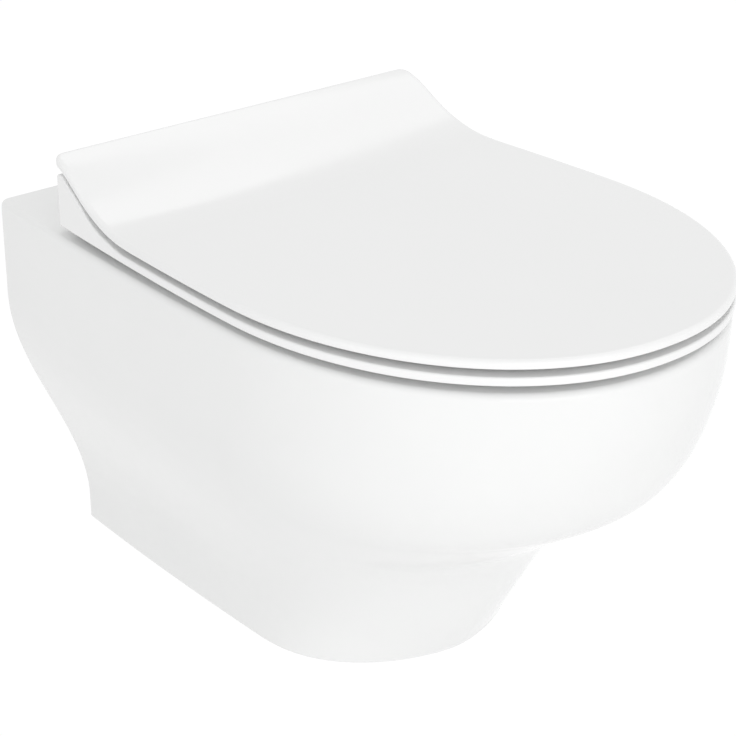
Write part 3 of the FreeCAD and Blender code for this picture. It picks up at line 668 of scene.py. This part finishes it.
def planLoop():
    # outline of the seat and lid seen from above, from the rear middle round the right side and back
    span = plan["widestReach"] - plan["rearReach"]

    def sideX(reach):
        share = (reach - plan["rearReach"]) / span
        narrowing = plan["halfWidth"] - plan["rearHalfWidth"]
        return plan["halfWidth"] - narrowing * (1 - share) ** plan["sideTaper"]

    tries = np.linspace(plan["rearReach"] + 2.0, plan["rearReach"] + 20.0, 400)
    slope = np.gradient(sideX(tries), tries)
    length = np.hypot(slope, 1.0)
    middleReach = tries + plan["corner"] * slope / length
    start = float(np.interp(plan["rearReach"] + plan["corner"], middleReach, tries))
    lean = float(np.interp(start, tries, slope))
    size = math.hypot(lean, 1.0)
    middle = (sideX(start) - plan["corner"] / size, plan["rearReach"] + plan["corner"])
    half = [(x, plan["rearReach"]) for x in np.linspace(0.0, middle[0], 24)[:-1]]
    for a in np.linspace(-math.pi / 2, -math.atan(lean), 12)[:-1]:
        half.append((middle[0] + plan["corner"] * math.cos(a), middle[1] + plan["corner"] * math.sin(a)))
    half += [(sideX(r), r) for r in np.linspace(start, plan["widestReach"], 44)[:-1]]
    for a in np.linspace(0.0, math.pi / 2, 80):
        half.append((plan["halfWidth"] * max(math.cos(a), 0.0) ** (2 / plan["sidePower"]),
                     plan["widestReach"] + (plan["frontReach"] - plan["widestReach"])
                     * math.sin(a) ** (2 / plan["nosePower"])))
    half[-1] = (0.0, half[-1][1])
    return np.array(half + [(-x, reach) for x, reach in half[-2:0:-1]])


def plateRings(loop, topOf, bottomOf, edge, lowEdge, shares, steps=6):
    # rings from the middle of the underside out round the rounded edge and back to the middle of the top
    along = np.roll(loop, -1, axis=0) - np.roll(loop, 1, axis=0)
    along /= np.linalg.norm(along, axis=1)[:, None]
    inward = np.stack([-along[:, 1], along[:, 0]], axis=1)
    hub = np.array([0.0, plan["hub"]])
    inner = loop + inward * edge
    lower = loop + inward * lowEdge

    def ring(spots, heights):
        return [at(x, reach, z) for (x, reach), z in zip(spots, heights)]

    rings = [ring(hub + (lower - hub) * s, bottomOf(hub + (lower - hub) * s)) for s in shares]
    for step in range(1, steps + 1):
        a = math.pi / 2 * step / steps
        spots = loop + inward * lowEdge * (1 - math.sin(a))
        rings.append(ring(spots, bottomOf(spots) + lowEdge * (1 - math.cos(a))))
    for step in range(steps):
        a = math.pi / 2 * step / steps
        spots = loop + inward * edge * (1 - math.cos(a))
        rings.append(ring(spots, topOf(spots) - edge * (1 - math.sin(a))))
    rings += [ring(hub + (inner - hub) * s, topOf(hub + (inner - hub) * s)) for s in shares[::-1]]
    return rings


def ringShares(fine, coarse, middle):
    # close rings near the rim, where the plate rises, and wider ones near the middle
    return np.concatenate([np.linspace(0.03, middle, coarse)[:-1], np.linspace(middle, 1.0, fine)])


lid = {
    "underside": 96.5,
    "thickness": 5.9,
    "edge": 3.2,
    "lowEdge": 0.7,
    "knuckleOuter": 67.0,
    "knuckleLength": 23.0,
    "eye": 10.5,
    "bore": 6.65,
    "axleHole": 4.3,
    "dish": 0.9,
    "dishMargin": 14.0,
    "dishStart": 112.0,
    "dishSlope": 4.0,
    # corners of the web over each knuckle, as reach and height from the hinge
    "web": [(-9.0, 4.0), (9.5, 4.0), (9.5, 13.4), (-5.5, 21.0)],
    "knuckleChamfer": 0.8,
}
lidRamp = [(0.0, 36.6), (13.8, 31.9), (25.8, 25.6), (37.8, 18.2), (49.8, 11.8), (63.8, 6.4), (81.8, 1.8),
           (106.8, 0.0)]


def makeLid(material):
    loop = planLoop()
    rearReach = plan["rearReach"]

    def underside(spots):
        return lid["underside"] + riseOf(lidRamp, spots[:, 1] - rearReach)

    def dished(spots):
        # the underside is set in a little inside a flat margin
        room = np.min(np.linalg.norm(spots[:, None, :] - loop[None, ::3, :], axis=2), axis=1)
        share = np.clip((room - lid["dishMargin"]) / lid["dishSlope"], 0.0, 1.0)
        share *= np.clip((spots[:, 1] - rearReach - lid["dishStart"]) / lid["dishSlope"], 0.0, 1.0)
        return underside(spots) + lid["dish"] * share * share * (3.0 - 2.0 * share)

    rings = plateRings(loop, lambda spots: underside(spots) + lid["thickness"], dished, lid["edge"],
                       lid["lowEdge"], ringShares(58, 8, 0.5))
    piece = ringSolid("lid", rings)
    hinge = (seat["hingeReach"], seat["hingeHeight"])
    inner = lid["knuckleOuter"] - lid["knuckleLength"]
    web = [(hinge[0] + reach, hinge[1] + height) for reach, height in lid["web"]]
    added = []
    holes = []
    for side in (-1, 1):
        a, b = side * inner, side * lid["knuckleOuter"]
        chamfer = lid["knuckleChamfer"]
        added.append(rod(lid["eye"], at(a, *hinge), at(b, *hinge), chamfer))
        added.append(sideBlock(web, a + side * chamfer, b - side * chamfer))
        holes.append(rod(lid["bore"], at(a - side * 1.0, *hinge), at(b - side * 2.5, *hinge)))
        holes.append(rod(lid["axleHole"], at(a, *hinge), at(b + side * 1.0, *hinge)))
    cut(piece, added, "UNION")
    cut(piece, holes)
    painted(piece, material)
    return finishShading(piece)


seat = {
    "underside": 84.8,
    "top": 91.0,
    "edge": 1.6,
    "openingHalfWidth": 113.0,
    "openingRear": 188.0,
    "openingFront": 472.0,
    "openingRound": 2.6,
    "cheekInner": 93.0,
    "bridge": 61.5,
    "notchFront": 152.0,
    "hingeReach": 97.0,
    "hingeHeight": 112.0,
    "bore": 7.45,
    "boreDepth": 44.4,
    "skin": 7.0,
    "lowerRound": 0.6,     # how flat the opening's lower edge is rounded
    "gapSpan": (60.0, 210.0),
    "gapRings": 76,
    "cheekRound": 2.0,
    # the pocket in each cheek, open below: reach, and height over the seat top
    "pocketRear": (114.0, 16.0),
    "pocketFront": (150.0, -1.0),
    "pocketSide": 24.0,
}
# rise of the seat cheek over the seat top, by distance from the rear edge
cheekRamp = [(0.0, 28.4), (2.6, 31.6), (7.0, 33.9), (11.0, 34.5), (18.5, 30.6), (27.1, 26.0), (43.5, 15.4),
             (59.8, 7.0), (76.1, 3.0), (92.1, 0.2), (104.1, 0.0)]


def flaredOpening():
    # the seat opening, its edges rounded above and below
    flare = seat["openingRound"]
    levels = []
    for step in range(7):
        a = math.pi / 2 * step / 6
        levels.append((seat["underside"] + flare * math.sin(a) * seat["lowerRound"], flare * (1 - math.sin(a))))
    for step in range(7):
        a = math.pi / 2 * step / 6
        levels.append((seat["top"] - flare * math.cos(a), flare * (1 - math.cos(a))))
    levels = [(seat["underside"] - 3.0, flare)] + levels + [(seat["top"] + 3.0, flare)]
    half, rear, front = seat["openingHalfWidth"], seat["openingRear"], seat["openingFront"]
    return ringSolid("tool", [ovalRing(half + grow, rear - grow, front + grow, z) for z, grow in levels])


def cheekGap():
    # the room between the two cheeks, flared where their tops meet it so that those edges come out rounded
    rings = []
    for reach in np.linspace(*seat["gapSpan"], seat["gapRings"]):
        rise = float(riseOf(cheekRamp, max(reach - plan["rearReach"], 0.0)))
        flare = min(seat["cheekRound"], max(rise * 0.5, 0.02))
        top = seat["top"] + rise
        inner = seat["cheekInner"]
        half = [(inner, seat["top"]), (inner, top - flare)]
        for step in range(1, 6):
            a = math.pi / 2 * step / 5
            half.append((inner + flare * (1 - math.cos(a)), top - flare + flare * math.sin(a)))
        half.append((inner + flare, top + 20.0))
        ring = [at(x, reach, z) for x, z in half] + [at(-x, reach, z) for x, z in half[::-1]]
        rings.append(ring)
    return ringSolid("tool", rings)


def makeSeat(material):
    loop = planLoop()

    def topOf(spots):
        return seat["top"] + riseOf(cheekRamp, spots[:, 1] - plan["rearReach"])

    def bottomOf(spots):
        return np.full(len(spots), seat["underside"])

    rings = plateRings(loop, topOf, bottomOf, seat["edge"], seat["edge"], ringShares(52, 4, 0.5))
    piece = ringSolid("seat", rings)
    hinge = (seat["hingeReach"], seat["hingeHeight"])
    tools = [cheekGap(), flaredOpening()]
    (rear, rearRise), (front, frontRise) = seat["pocketRear"], seat["pocketFront"]
    pocket = [(rear, seat["underside"] - 1.0), (front, seat["underside"] - 1.0),
              (front, seat["top"] + frontRise), (rear, seat["top"] + rearRise)]
    for side in (-1, 1):
        a, b = sorted((side * seat["bridge"], side * seat["cheekInner"]))
        tools.append(block(a, b, 0.0, seat["notchFront"], seat["underside"] - 5.0, seat["top"] + 50.0))
        tools.append(rod(seat["bore"], at(side * (seat["cheekInner"] - 1.0), *hinge),
                         at(side * (seat["cheekInner"] + seat["boreDepth"]), *hinge)))
        inner = seat["cheekInner"] + seat["skin"]
        outer = plan["halfWidth"] - seat["pocketSide"]
        a, b = sorted((side * inner, side * outer))
        tools.append(sideBlock(pocket, a, b))
    cut(piece, tools)
    painted(piece, material)
    return finishShading(piece)


buffers = {
    # distance from the middle, reach and turn in degrees
    "rear": (146.0, 240.0, 4.0),
    "front": (106.0, 440.0, 33.0),
    "lid": (96.0, 462.0),
    "length": 40.0,
    "width": 9.0,
    "lidWidth": 10.0,
    "edge": 0.7,
}


def padTree():
    # chamfered pads with round ends, one on each point and turned by the point's own angle
    tree, source, finish = newTree("pads", [
        ("Length", "Float", 0.04), ("Width", "Float", 0.009), ("Height", "Float", 0.005),
        ("Edge", "Float", 0.0008), ("Material", "Material", None)])
    width, height, edge = (Term(tree, source.outputs[label]) for label in ("Width", "Height", "Edge"))
    gap = Term(tree, source.outputs["Length"]) - width
    discs = addNode(tree, "GeometryNodeJoinGeometry")
    for radius, depth in ((width * 0.5, height - edge * 2.0), (width * 0.5 - edge, height)):
        disc = addNode(tree, "GeometryNodeMeshCylinder", {"Vertices": 40, "Radius": radius, "Depth": depth})
        tree.links.new(disc.outputs["Mesh"], discs.inputs[0])
    ends = addNode(tree, "GeometryNodeMeshLine", {
        "Count": 2, "Start Location": onAxis(tree, "Y", gap * -0.5), "Offset": onAxis(tree, "Y", gap * 1.0)})
    pair = addNode(tree, "GeometryNodeInstanceOnPoints", {
        "Points": ends.outputs["Mesh"], "Instance": discs.outputs["Geometry"]})
    real = addNode(tree, "GeometryNodeRealizeInstances", {"Geometry": pair.outputs["Instances"]})
    hull = addNode(tree, "GeometryNodeConvexHull", {"Geometry": real.outputs["Geometry"]})
    turn = addNode(tree, "GeometryNodeInputNamedAttribute", {"Name": "turn"}, data_type="FLOAT")
    place = addNode(tree, "GeometryNodeInstanceOnPoints", {
        "Points": source.outputs["Geometry"], "Instance": hull.outputs["Convex Hull"],
        "Rotation": onAxis(tree, "Z", turn.outputs["Attribute"])})
    endTree(tree, place.outputs["Instances"], source.outputs["Material"], finish)
    return tree


def pointPiece(name, places, turns):
    mesh = bpy.data.meshes.new(name)
    mesh.from_pydata([tuple(p) for p in places], [], [])
    mark = mesh.attributes.new("turn", "FLOAT", "POINT")
    mark.data.foreach_set("value", turns)
    piece = placed(name, mesh)
    return piece


def makeBuffers(seatMaterial):
    tree = padTree()
    middle = (pan["rim"] + seat["underside"]) / 2
    places = []
    turns = []
    for side in (-1, 1):
        for x, reach, turn in (buffers["rear"], buffers["front"]):
            places.append(at(side * x, reach, middle))
            turns.append(math.radians(-side * turn))
    seatPads = pointPiece("seatBuffers", places, turns)
    grown(seatPads, tree, {"Length": buffers["length"] * mm, "Width": buffers["width"] * mm,
                           "Height": (seat["underside"] - pan["rim"]) * mm, "Edge": buffers["edge"] * mm,
                           "Material": seatMaterial})
    top = lid["underside"] + lid["dish"]
    x, reach = buffers["lid"]
    places = [at(side * x, reach, (seat["top"] + top) / 2) for side in (-1, 1)]
    lidPads = pointPiece("lidBuffers", places, [0.0, 0.0])
    grown(lidPads, tree, {"Length": buffers["lidWidth"] * mm, "Width": buffers["lidWidth"] * mm,
                          "Height": (top - seat["top"]) * mm, "Edge": buffers["edge"] * mm,
                          "Material": seatMaterial})
    return finishShading(seatPads), finishShading(lidPads)


def rowTree():
    # sets the piece's own mesh out along X, as many times as there are places in the row
    tree, source, finish = newTree("row", [
        ("Count", "Int", 2), ("Spacing", "Float", 0.18), ("Material", "Material", None)])
    count = Term(tree, source.outputs["Count"])
    spacing = Term(tree, source.outputs["Spacing"])
    line = addNode(tree, "GeometryNodeMeshLine", {
        "Count": count, "Start Location": onAxis(tree, "X", spacing * (count - 1.0) * -0.5),
        "Offset": onAxis(tree, "X", spacing)})
    place = addNode(tree, "GeometryNodeInstanceOnPoints", {
        "Points": line.outputs["Mesh"], "Instance": source.outputs["Geometry"]})
    endTree(tree, place.outputs["Instances"], source.outputs["Material"], finish)
    return tree


def mergedCopy(node, name):
    # a copy of a construction part with its loose triangles joined and its flat faces made whole
    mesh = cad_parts[node].data.copy()
    mesh.name = name
    piece = placed(name, mesh)
    work = bmesh.new()
    work.from_mesh(mesh)
    bmesh.ops.remove_doubles(work, verts=work.verts, dist=0.01 * mm)
    bmesh.ops.dissolve_limit(work, angle_limit=math.radians(1.0), verts=work.verts, edges=work.edges)
    bmesh.ops.recalc_face_normals(work, faces=work.faces)
    work.to_mesh(mesh)
    work.free()
    return piece


def broken(piece, width, angle=38.0):
    # takes the sharpness off the edges
    change = piece.modifiers.new("brokenEdges", "BEVEL")
    change.width = width * mm
    change.segments = 3
    change.limit_method = "ANGLE"
    change.angle_limit = math.radians(angle)
    change.use_clamp_overlap = True
    return applied(piece)


def makePairs(tree, materials):
    # hardware that comes in pairs: name, construction part, spacing, edge, material
    pieces = []
    for name, node, spacing, edge, material in (
            ("fixingBrackets", "fixing_bracket", fixing["studSpacing"], 0.7, "zinc"),
            ("studWashers", "stud_washer", fixing["studSpacing"], 0.3, "steel"),
            ("studNuts", "stud_nut", fixing["studSpacing"], 0.5, "steel"),
            ("clampWashers", "clamp_washer", fixing["studSpacing"], 0.25, "steel"),
            ("clampScrews", "clamp_screw", fixing["studSpacing"], 0.35, "steel"),
            ("hingePosts", "hinge_post", fixing["hingeSpacing"], 0.9, "chrome"),
            ("hingeBases", "hinge_base", fixing["hingeSpacing"], 0.5, "chrome"),
            ("baseGaskets", "base_gasket", fixing["hingeSpacing"], 0.2, "darkRubber"),
            ("fixingBolts", "fixing_bolt", fixing["hingeSpacing"], 0.3, "steel"),
            ("deckPlugs", "deck_plug", fixing["hingeSpacing"], 0.3, "darkRubber"),
            ("plugNuts", "plug_nut", fixing["hingeSpacing"], 0.3, "steel")):
        piece = mergedCopy(node + "_right", name)
        for point in piece.data.vertices:
            point.co.x -= spacing / 2 * mm
        broken(piece, edge)
        grown(piece, tree, {"Count": 2, "Spacing": spacing * mm, "Material": materials[material]})
        finishShading(piece)
        pieces.append((piece, node, material))
    return pieces


def dress(node, material):
    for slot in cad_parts[node].material_slots:
        slot.material = material


# what each finish is, from the photograph and from how such things are made
finishes = {
    "glaze": {"light": (0.885, 0.889, 0.885), "dark": (0.868, 0.872, 0.869), "rough": (0.07, 0.13),
              "cloud": 7.0, "wave": 22.0, "peel": 330.0, "waveDepth": 0.00016, "peelDepth": 0.000008,
              "ior": 1.45, "specular": 0.25},
    "resin": {"light": (0.902, 0.904, 0.902), "dark": (0.893, 0.895, 0.893), "rough": (0.12, 0.2),
              "cloud": 5.0, "wave": 12.0, "peel": 900.0, "waveDepth": 0.0001, "peelDepth": 0.000006,
              "ior": 1.45, "specular": 0.4},
    "bareClay": {"light": (0.80, 0.775, 0.73), "dark": (0.70, 0.675, 0.63), "rough": (0.72, 0.95),
                 "cloud": 26.0, "wave": 140.0, "peel": 1500.0, "waveDepth": 0.0004, "peelDepth": 0.00008,
                 "ior": 1.4, "specular": 0.25},
}
moulded = {
    "buffer": {"light": (0.62, 0.63, 0.63), "dark": (0.55, 0.56, 0.56), "rough": (0.5, 0.66)},
    "darkRubber": {"light": (0.045, 0.045, 0.046), "dark": (0.028, 0.028, 0.03), "rough": (0.6, 0.8)},
    "greyMoulded": {"light": (0.34, 0.35, 0.36), "dark": (0.29, 0.3, 0.31), "rough": (0.38, 0.5)},
    "whiteMoulded": {"light": (0.84, 0.84, 0.83), "dark": (0.79, 0.79, 0.78), "rough": (0.3, 0.42)},
}


class Paint:
    # a material being put together: a shader, the object's own coordinates and short ways to add nodes

    def __init__(self, name):
        self.material = bpy.data.materials.new(name)
        self.material.use_nodes = True
        self.tree = self.material.node_tree
        self.shader = self.tree.nodes["Principled BSDF"]
        self.place = addNode(self.tree, "ShaderNodeTexCoord").outputs["Object"]
        self.relief = None

    def fixed(self, **values):
        for label, value in values.items():
            self.shader.inputs[label].default_value = value

    def stretched(self, scale):
        return addNode(self.tree, "ShaderNodeMapping", {"Vector": self.place, "Scale": scale}).outputs[0]

    def noise(self, scale, detail=3.0, rough=0.5, place=None):
        return addNode(self.tree, "ShaderNodeTexNoise", {
            "Vector": place or self.place, "Scale": scale, "Detail": detail, "Roughness": rough}).outputs["Fac"]

    def ranged(self, value, low, high, start=0.3, end=0.7):
        return addNode(self.tree, "ShaderNodeMapRange", {
            "Value": value, "From Min": start, "From Max": end, "To Min": low, "To Max": high}).outputs[0]

    def between(self, value, first, second):
        return addNode(self.tree, "ShaderNodeMix", {
            "Factor": value, "A": (*first, 1.0), "B": (*second, 1.0)}, data_type="RGBA").outputs["Result"]

    def colour(self, socket):
        self.tree.links.new(socket, self.shader.inputs["Base Color"])

    def roughness(self, socket):
        self.tree.links.new(socket, self.shader.inputs["Roughness"])

    def raised(self, height, depth):
        # each relief lies on the one before it
        inputs = {"Strength": 1.0, "Distance": depth, "Height": height}
        if self.relief:
            inputs["Normal"] = self.relief
        self.relief = addNode(self.tree, "ShaderNodeBump", inputs).outputs[0]
        self.tree.links.new(self.relief, self.shader.inputs["Normal"])


def firedPaint(name):
    # glaze, cast resin or bare clay: a slow drift of tone, long waves and a fine skin
    look = finishes[name]
    paint = Paint(name)
    cloud = paint.ranged(paint.noise(look["cloud"], 2.0), 0.0, 1.0)
    paint.colour(paint.between(cloud, look["light"], look["dark"]))
    paint.roughness(paint.ranged(paint.noise(look["cloud"] * 3.1, 4.0), *look["rough"]))
    paint.raised(paint.noise(look["wave"], 1.0), look["waveDepth"])
    paint.raised(paint.noise(look["peel"], 2.0), look["peelDepth"])
    paint.fixed(**{"IOR": look["ior"], "Specular IOR Level": look["specular"]})
    return paint.material


def mouldedPaint(name):
    # moulded plastic and rubber: a spark eroded skin and slight flow marks
    look = moulded[name]
    paint = Paint(name)
    flow = paint.noise(60.0, 4.0, 0.6, paint.stretched((1.0, 1.0, 3.0)))
    paint.colour(paint.between(paint.ranged(flow, 0.0, 1.0), look["light"], look["dark"]))
    paint.roughness(paint.ranged(paint.noise(420.0, 3.0), *look["rough"]))
    paint.raised(paint.noise(2600.0, 2.0), 0.00003)
    paint.fixed(IOR=1.47)
    return paint.material


def steelPaint():
    # turned and brushed stainless steel
    paint = Paint("steel")
    brush = paint.noise(90.0, 6.0, 0.7, paint.stretched((1.0, 14.0, 14.0)))
    paint.colour(paint.between(paint.ranged(brush, 0.0, 1.0), (0.62, 0.62, 0.61), (0.5, 0.5, 0.5)))
    paint.roughness(paint.ranged(brush, 0.22, 0.38))
    paint.raised(brush, 0.00003)
    paint.fixed(Metallic=1.0)
    return paint.material


def chromePaint():
    # polished plating with faint wiping marks
    paint = Paint("chrome")
    wipe = paint.noise(30.0, 5.0, 0.65, paint.stretched((3.0, 1.0, 1.0)))
    paint.colour(paint.between(paint.ranged(wipe, 0.0, 1.0), (0.73, 0.74, 0.75), (0.66, 0.67, 0.69)))
    paint.roughness(paint.ranged(wipe, 0.09, 0.2))
    paint.raised(paint.noise(500.0, 2.0), 0.000006)
    paint.fixed(Metallic=1.0)
    return paint.material


def zincPaint():
    # zinc with its spangle, a little duller in patches
    paint = Paint("zinc")
    cells = addNode(paint.tree, "ShaderNodeTexVoronoi", {"Vector": paint.place, "Scale": 240.0})
    tone = addNode(paint.tree, "ShaderNodeSeparateColor", {0: cells.outputs["Color"]})
    paint.colour(paint.between(tone.outputs[0], (0.56, 0.57, 0.58), (0.44, 0.45, 0.46)))
    paint.roughness(paint.ranged(paint.noise(45.0, 4.0), 0.3, 0.5))
    paint.raised(paint.noise(700.0, 3.0), 0.00002)
    paint.fixed(Metallic=0.85)
    return paint.material


# the camera that took the photograph, fitted to the outlines of the pan, seat and lid
camera = {
    "place": (-955.92, -1390.95, 665.41),
    "azimuth": 39.735,
    "elevation": 24.808,
    "focal": 2200.9,
    "imageWidth": 736.0,
    "sensor": 36.0,
}


def makeCamera():
    turn = math.radians(camera["azimuth"])
    lift = math.radians(camera["elevation"])
    looking = Vector((math.sin(turn) * math.cos(lift), math.cos(turn) * math.cos(lift), -math.sin(lift)))
    data = bpy.data.cameras.new("camera")
    data.sensor_fit = "HORIZONTAL"
    data.sensor_width = camera["sensor"]
    data.lens = camera["sensor"] * camera["focal"] / camera["imageWidth"]
    data.clip_start = 0.05
    data.clip_end = 60.0
    eye = bpy.data.objects.new("camera", data)
    eye.location = Vector(camera["place"]) * mm
    eye.rotation_euler = looking.to_track_quat("-Z", "Y").to_euler()
    scene.collection.objects.link(eye)
    scene.camera = eye


room = {
    "sky": 0.79,            # strength of the even light from all round
    "floorDrop": 450.0,     # how far the floor lies under the studs
    "floorSize": 8.0,
    "floorShadow": 0.12,    # how much of the light and shadow on the floor the camera sees
    "floorGlow": 0.91,      # the rest of the floor's white
    "lamps": {
        # place in metres, what it points at, width and height, power
        "front": ((-0.9, -3.0, 0.8), (0.0, -0.3, 0.0), (2.2, 2.2), 22.5),
        "above": ((1.74, 0.57, 2.43), (0.0, -0.15, 0.1), (2.1, 0.9), 8.0),
        "side": ((-2.6, -0.9, 0.1), (0.0, -0.3, 0.0), (2.0, 2.0), 5.5),
    },
}


def whiteToCamera(tree):
    # 1 where the camera, a mirror or a clear thing looks straight at the background
    path = addNode(tree, "ShaderNodeLightPath")
    white = path.outputs["Is Camera Ray"]
    for label in ("Is Glossy Ray", "Is Transmission Ray"):
        white = addNode(tree, "ShaderNodeMath", {0: white, 1: path.outputs[label]}, operation="MAXIMUM").outputs[0]
    return white


def makeSky():
    world = bpy.data.worlds.new("room")
    scene.world = world
    world.use_nodes = True
    tree = world.node_tree
    light = tree.nodes["Background"]
    light.inputs["Color"].default_value = (1.0, 1.0, 1.0, 1.0)
    light.inputs["Strength"].default_value = room["sky"]
    seen = addNode(tree, "ShaderNodeBackground", {"Color": (1.0, 1.0, 1.0, 1.0), "Strength": 1.0})
    mix = addNode(tree, "ShaderNodeMixShader", {0: whiteToCamera(tree), 1: light.outputs[0], 2: seen.outputs[0]})
    tree.links.new(mix.outputs[0], tree.nodes["World Output"].inputs["Surface"])


def makeFloor():
    size = room["floorSize"]
    z = -room["floorDrop"] * mm
    corners = [(-size, -size, z), (size, -size, z), (size, size, z), (-size, size, z)]
    floor = newPiece("floor", corners, [(0, 1, 2, 3)])
    material = bpy.data.materials.new("floorPaint")
    material.use_nodes = True
    tree = material.node_tree
    plain = tree.nodes["Principled BSDF"]
    plain.inputs["Base Color"].default_value = (0.9, 0.9, 0.9, 1.0)
    plain.inputs["Roughness"].default_value = 0.9
    seen = addNode(tree, "ShaderNodeBsdfDiffuse", {"Color": (*[room["floorShadow"]] * 3, 1.0)})
    glow = addNode(tree, "ShaderNodeEmission", {"Strength": room["floorGlow"]})
    shown = addNode(tree, "ShaderNodeAddShader", {0: seen.outputs[0], 1: glow.outputs[0]})
    mix = addNode(tree, "ShaderNodeMixShader", {0: whiteToCamera(tree), 1: plain.outputs[0], 2: shown.outputs[0]})
    tree.links.new(mix.outputs[0], tree.nodes["Material Output"].inputs["Surface"])
    floor.data.materials.append(material)


def makeLamps():
    for name, (place, target, size, power) in room["lamps"].items():
        data = bpy.data.lights.new(name, "AREA")
        data.shape = "RECTANGLE"
        data.size, data.size_y = size
        data.energy = power
        lamp = bpy.data.objects.new(name, data)
        lamp.location = place
        lamp.rotation_euler = (Vector(target) - Vector(place)).to_track_quat("-Z", "Y").to_euler()
        scene.collection.objects.link(lamp)


scene.view_settings.view_transform = "Standard"
makeCamera()
makeSky()
makeFloor()
makeLamps()
print("camera, floor and lamps placed")

paints = {finish: firedPaint(finish) for finish in finishes}
paints["steel"] = steelPaint()
paints["chrome"] = chromePaint()
paints["zinc"] = zincPaint()
for finish in moulded:
    paints[finish] = mouldedPaint(finish)
print("finishes mixed:", len(paints))

panPiece = makePan(paints["glaze"], paints["bareClay"])
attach(panPiece, "pan")
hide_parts("pan_deck", "pan_skirt", "pan_floor", "pan_bowl", "pan_trap", "pan_inlet")
print("pan cast:", len(panPiece.data.polygons), "faces")

lidPiece = makeLid(paints["resin"])
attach(lidPiece, "lid")
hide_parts("lid")
print("lid moulded:", len(lidPiece.data.polygons), "faces")

seatPiece = makeSeat(paints["resin"])
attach(seatPiece, "seat")
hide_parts("seat_ring")
print("seat moulded:", len(seatPiece.data.polygons), "faces")

seatPads, lidPads = makeBuffers(paints["buffer"])
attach(seatPads, "seat")
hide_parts("seat_buffer_rear_left", "seat_buffer_rear_right",
            "seat_buffer_front_left", "seat_buffer_front_right")
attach(lidPads, "lid")
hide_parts("lid_buffer_left", "lid_buffer_right")
print("buffers pressed")

for piece, node, finish in makePairs(rowTree(), paints):
    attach(piece, "pan")
    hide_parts(node + "_left", node + "_right")
print("hardware set out in pairs")

keptParts = {"hinge_axle_left": "steel", "hinge_axle_right": "steel", "seat_damper": "greyMoulded",
             "seat_bush": "greyMoulded", "lid_damper": "greyMoulded", "lid_bush": "greyMoulded",
             "flush_spreader": "whiteMoulded"}
for node, finish in keptParts.items():
    dress(node, paints[finish])
print("remaining parts finished")
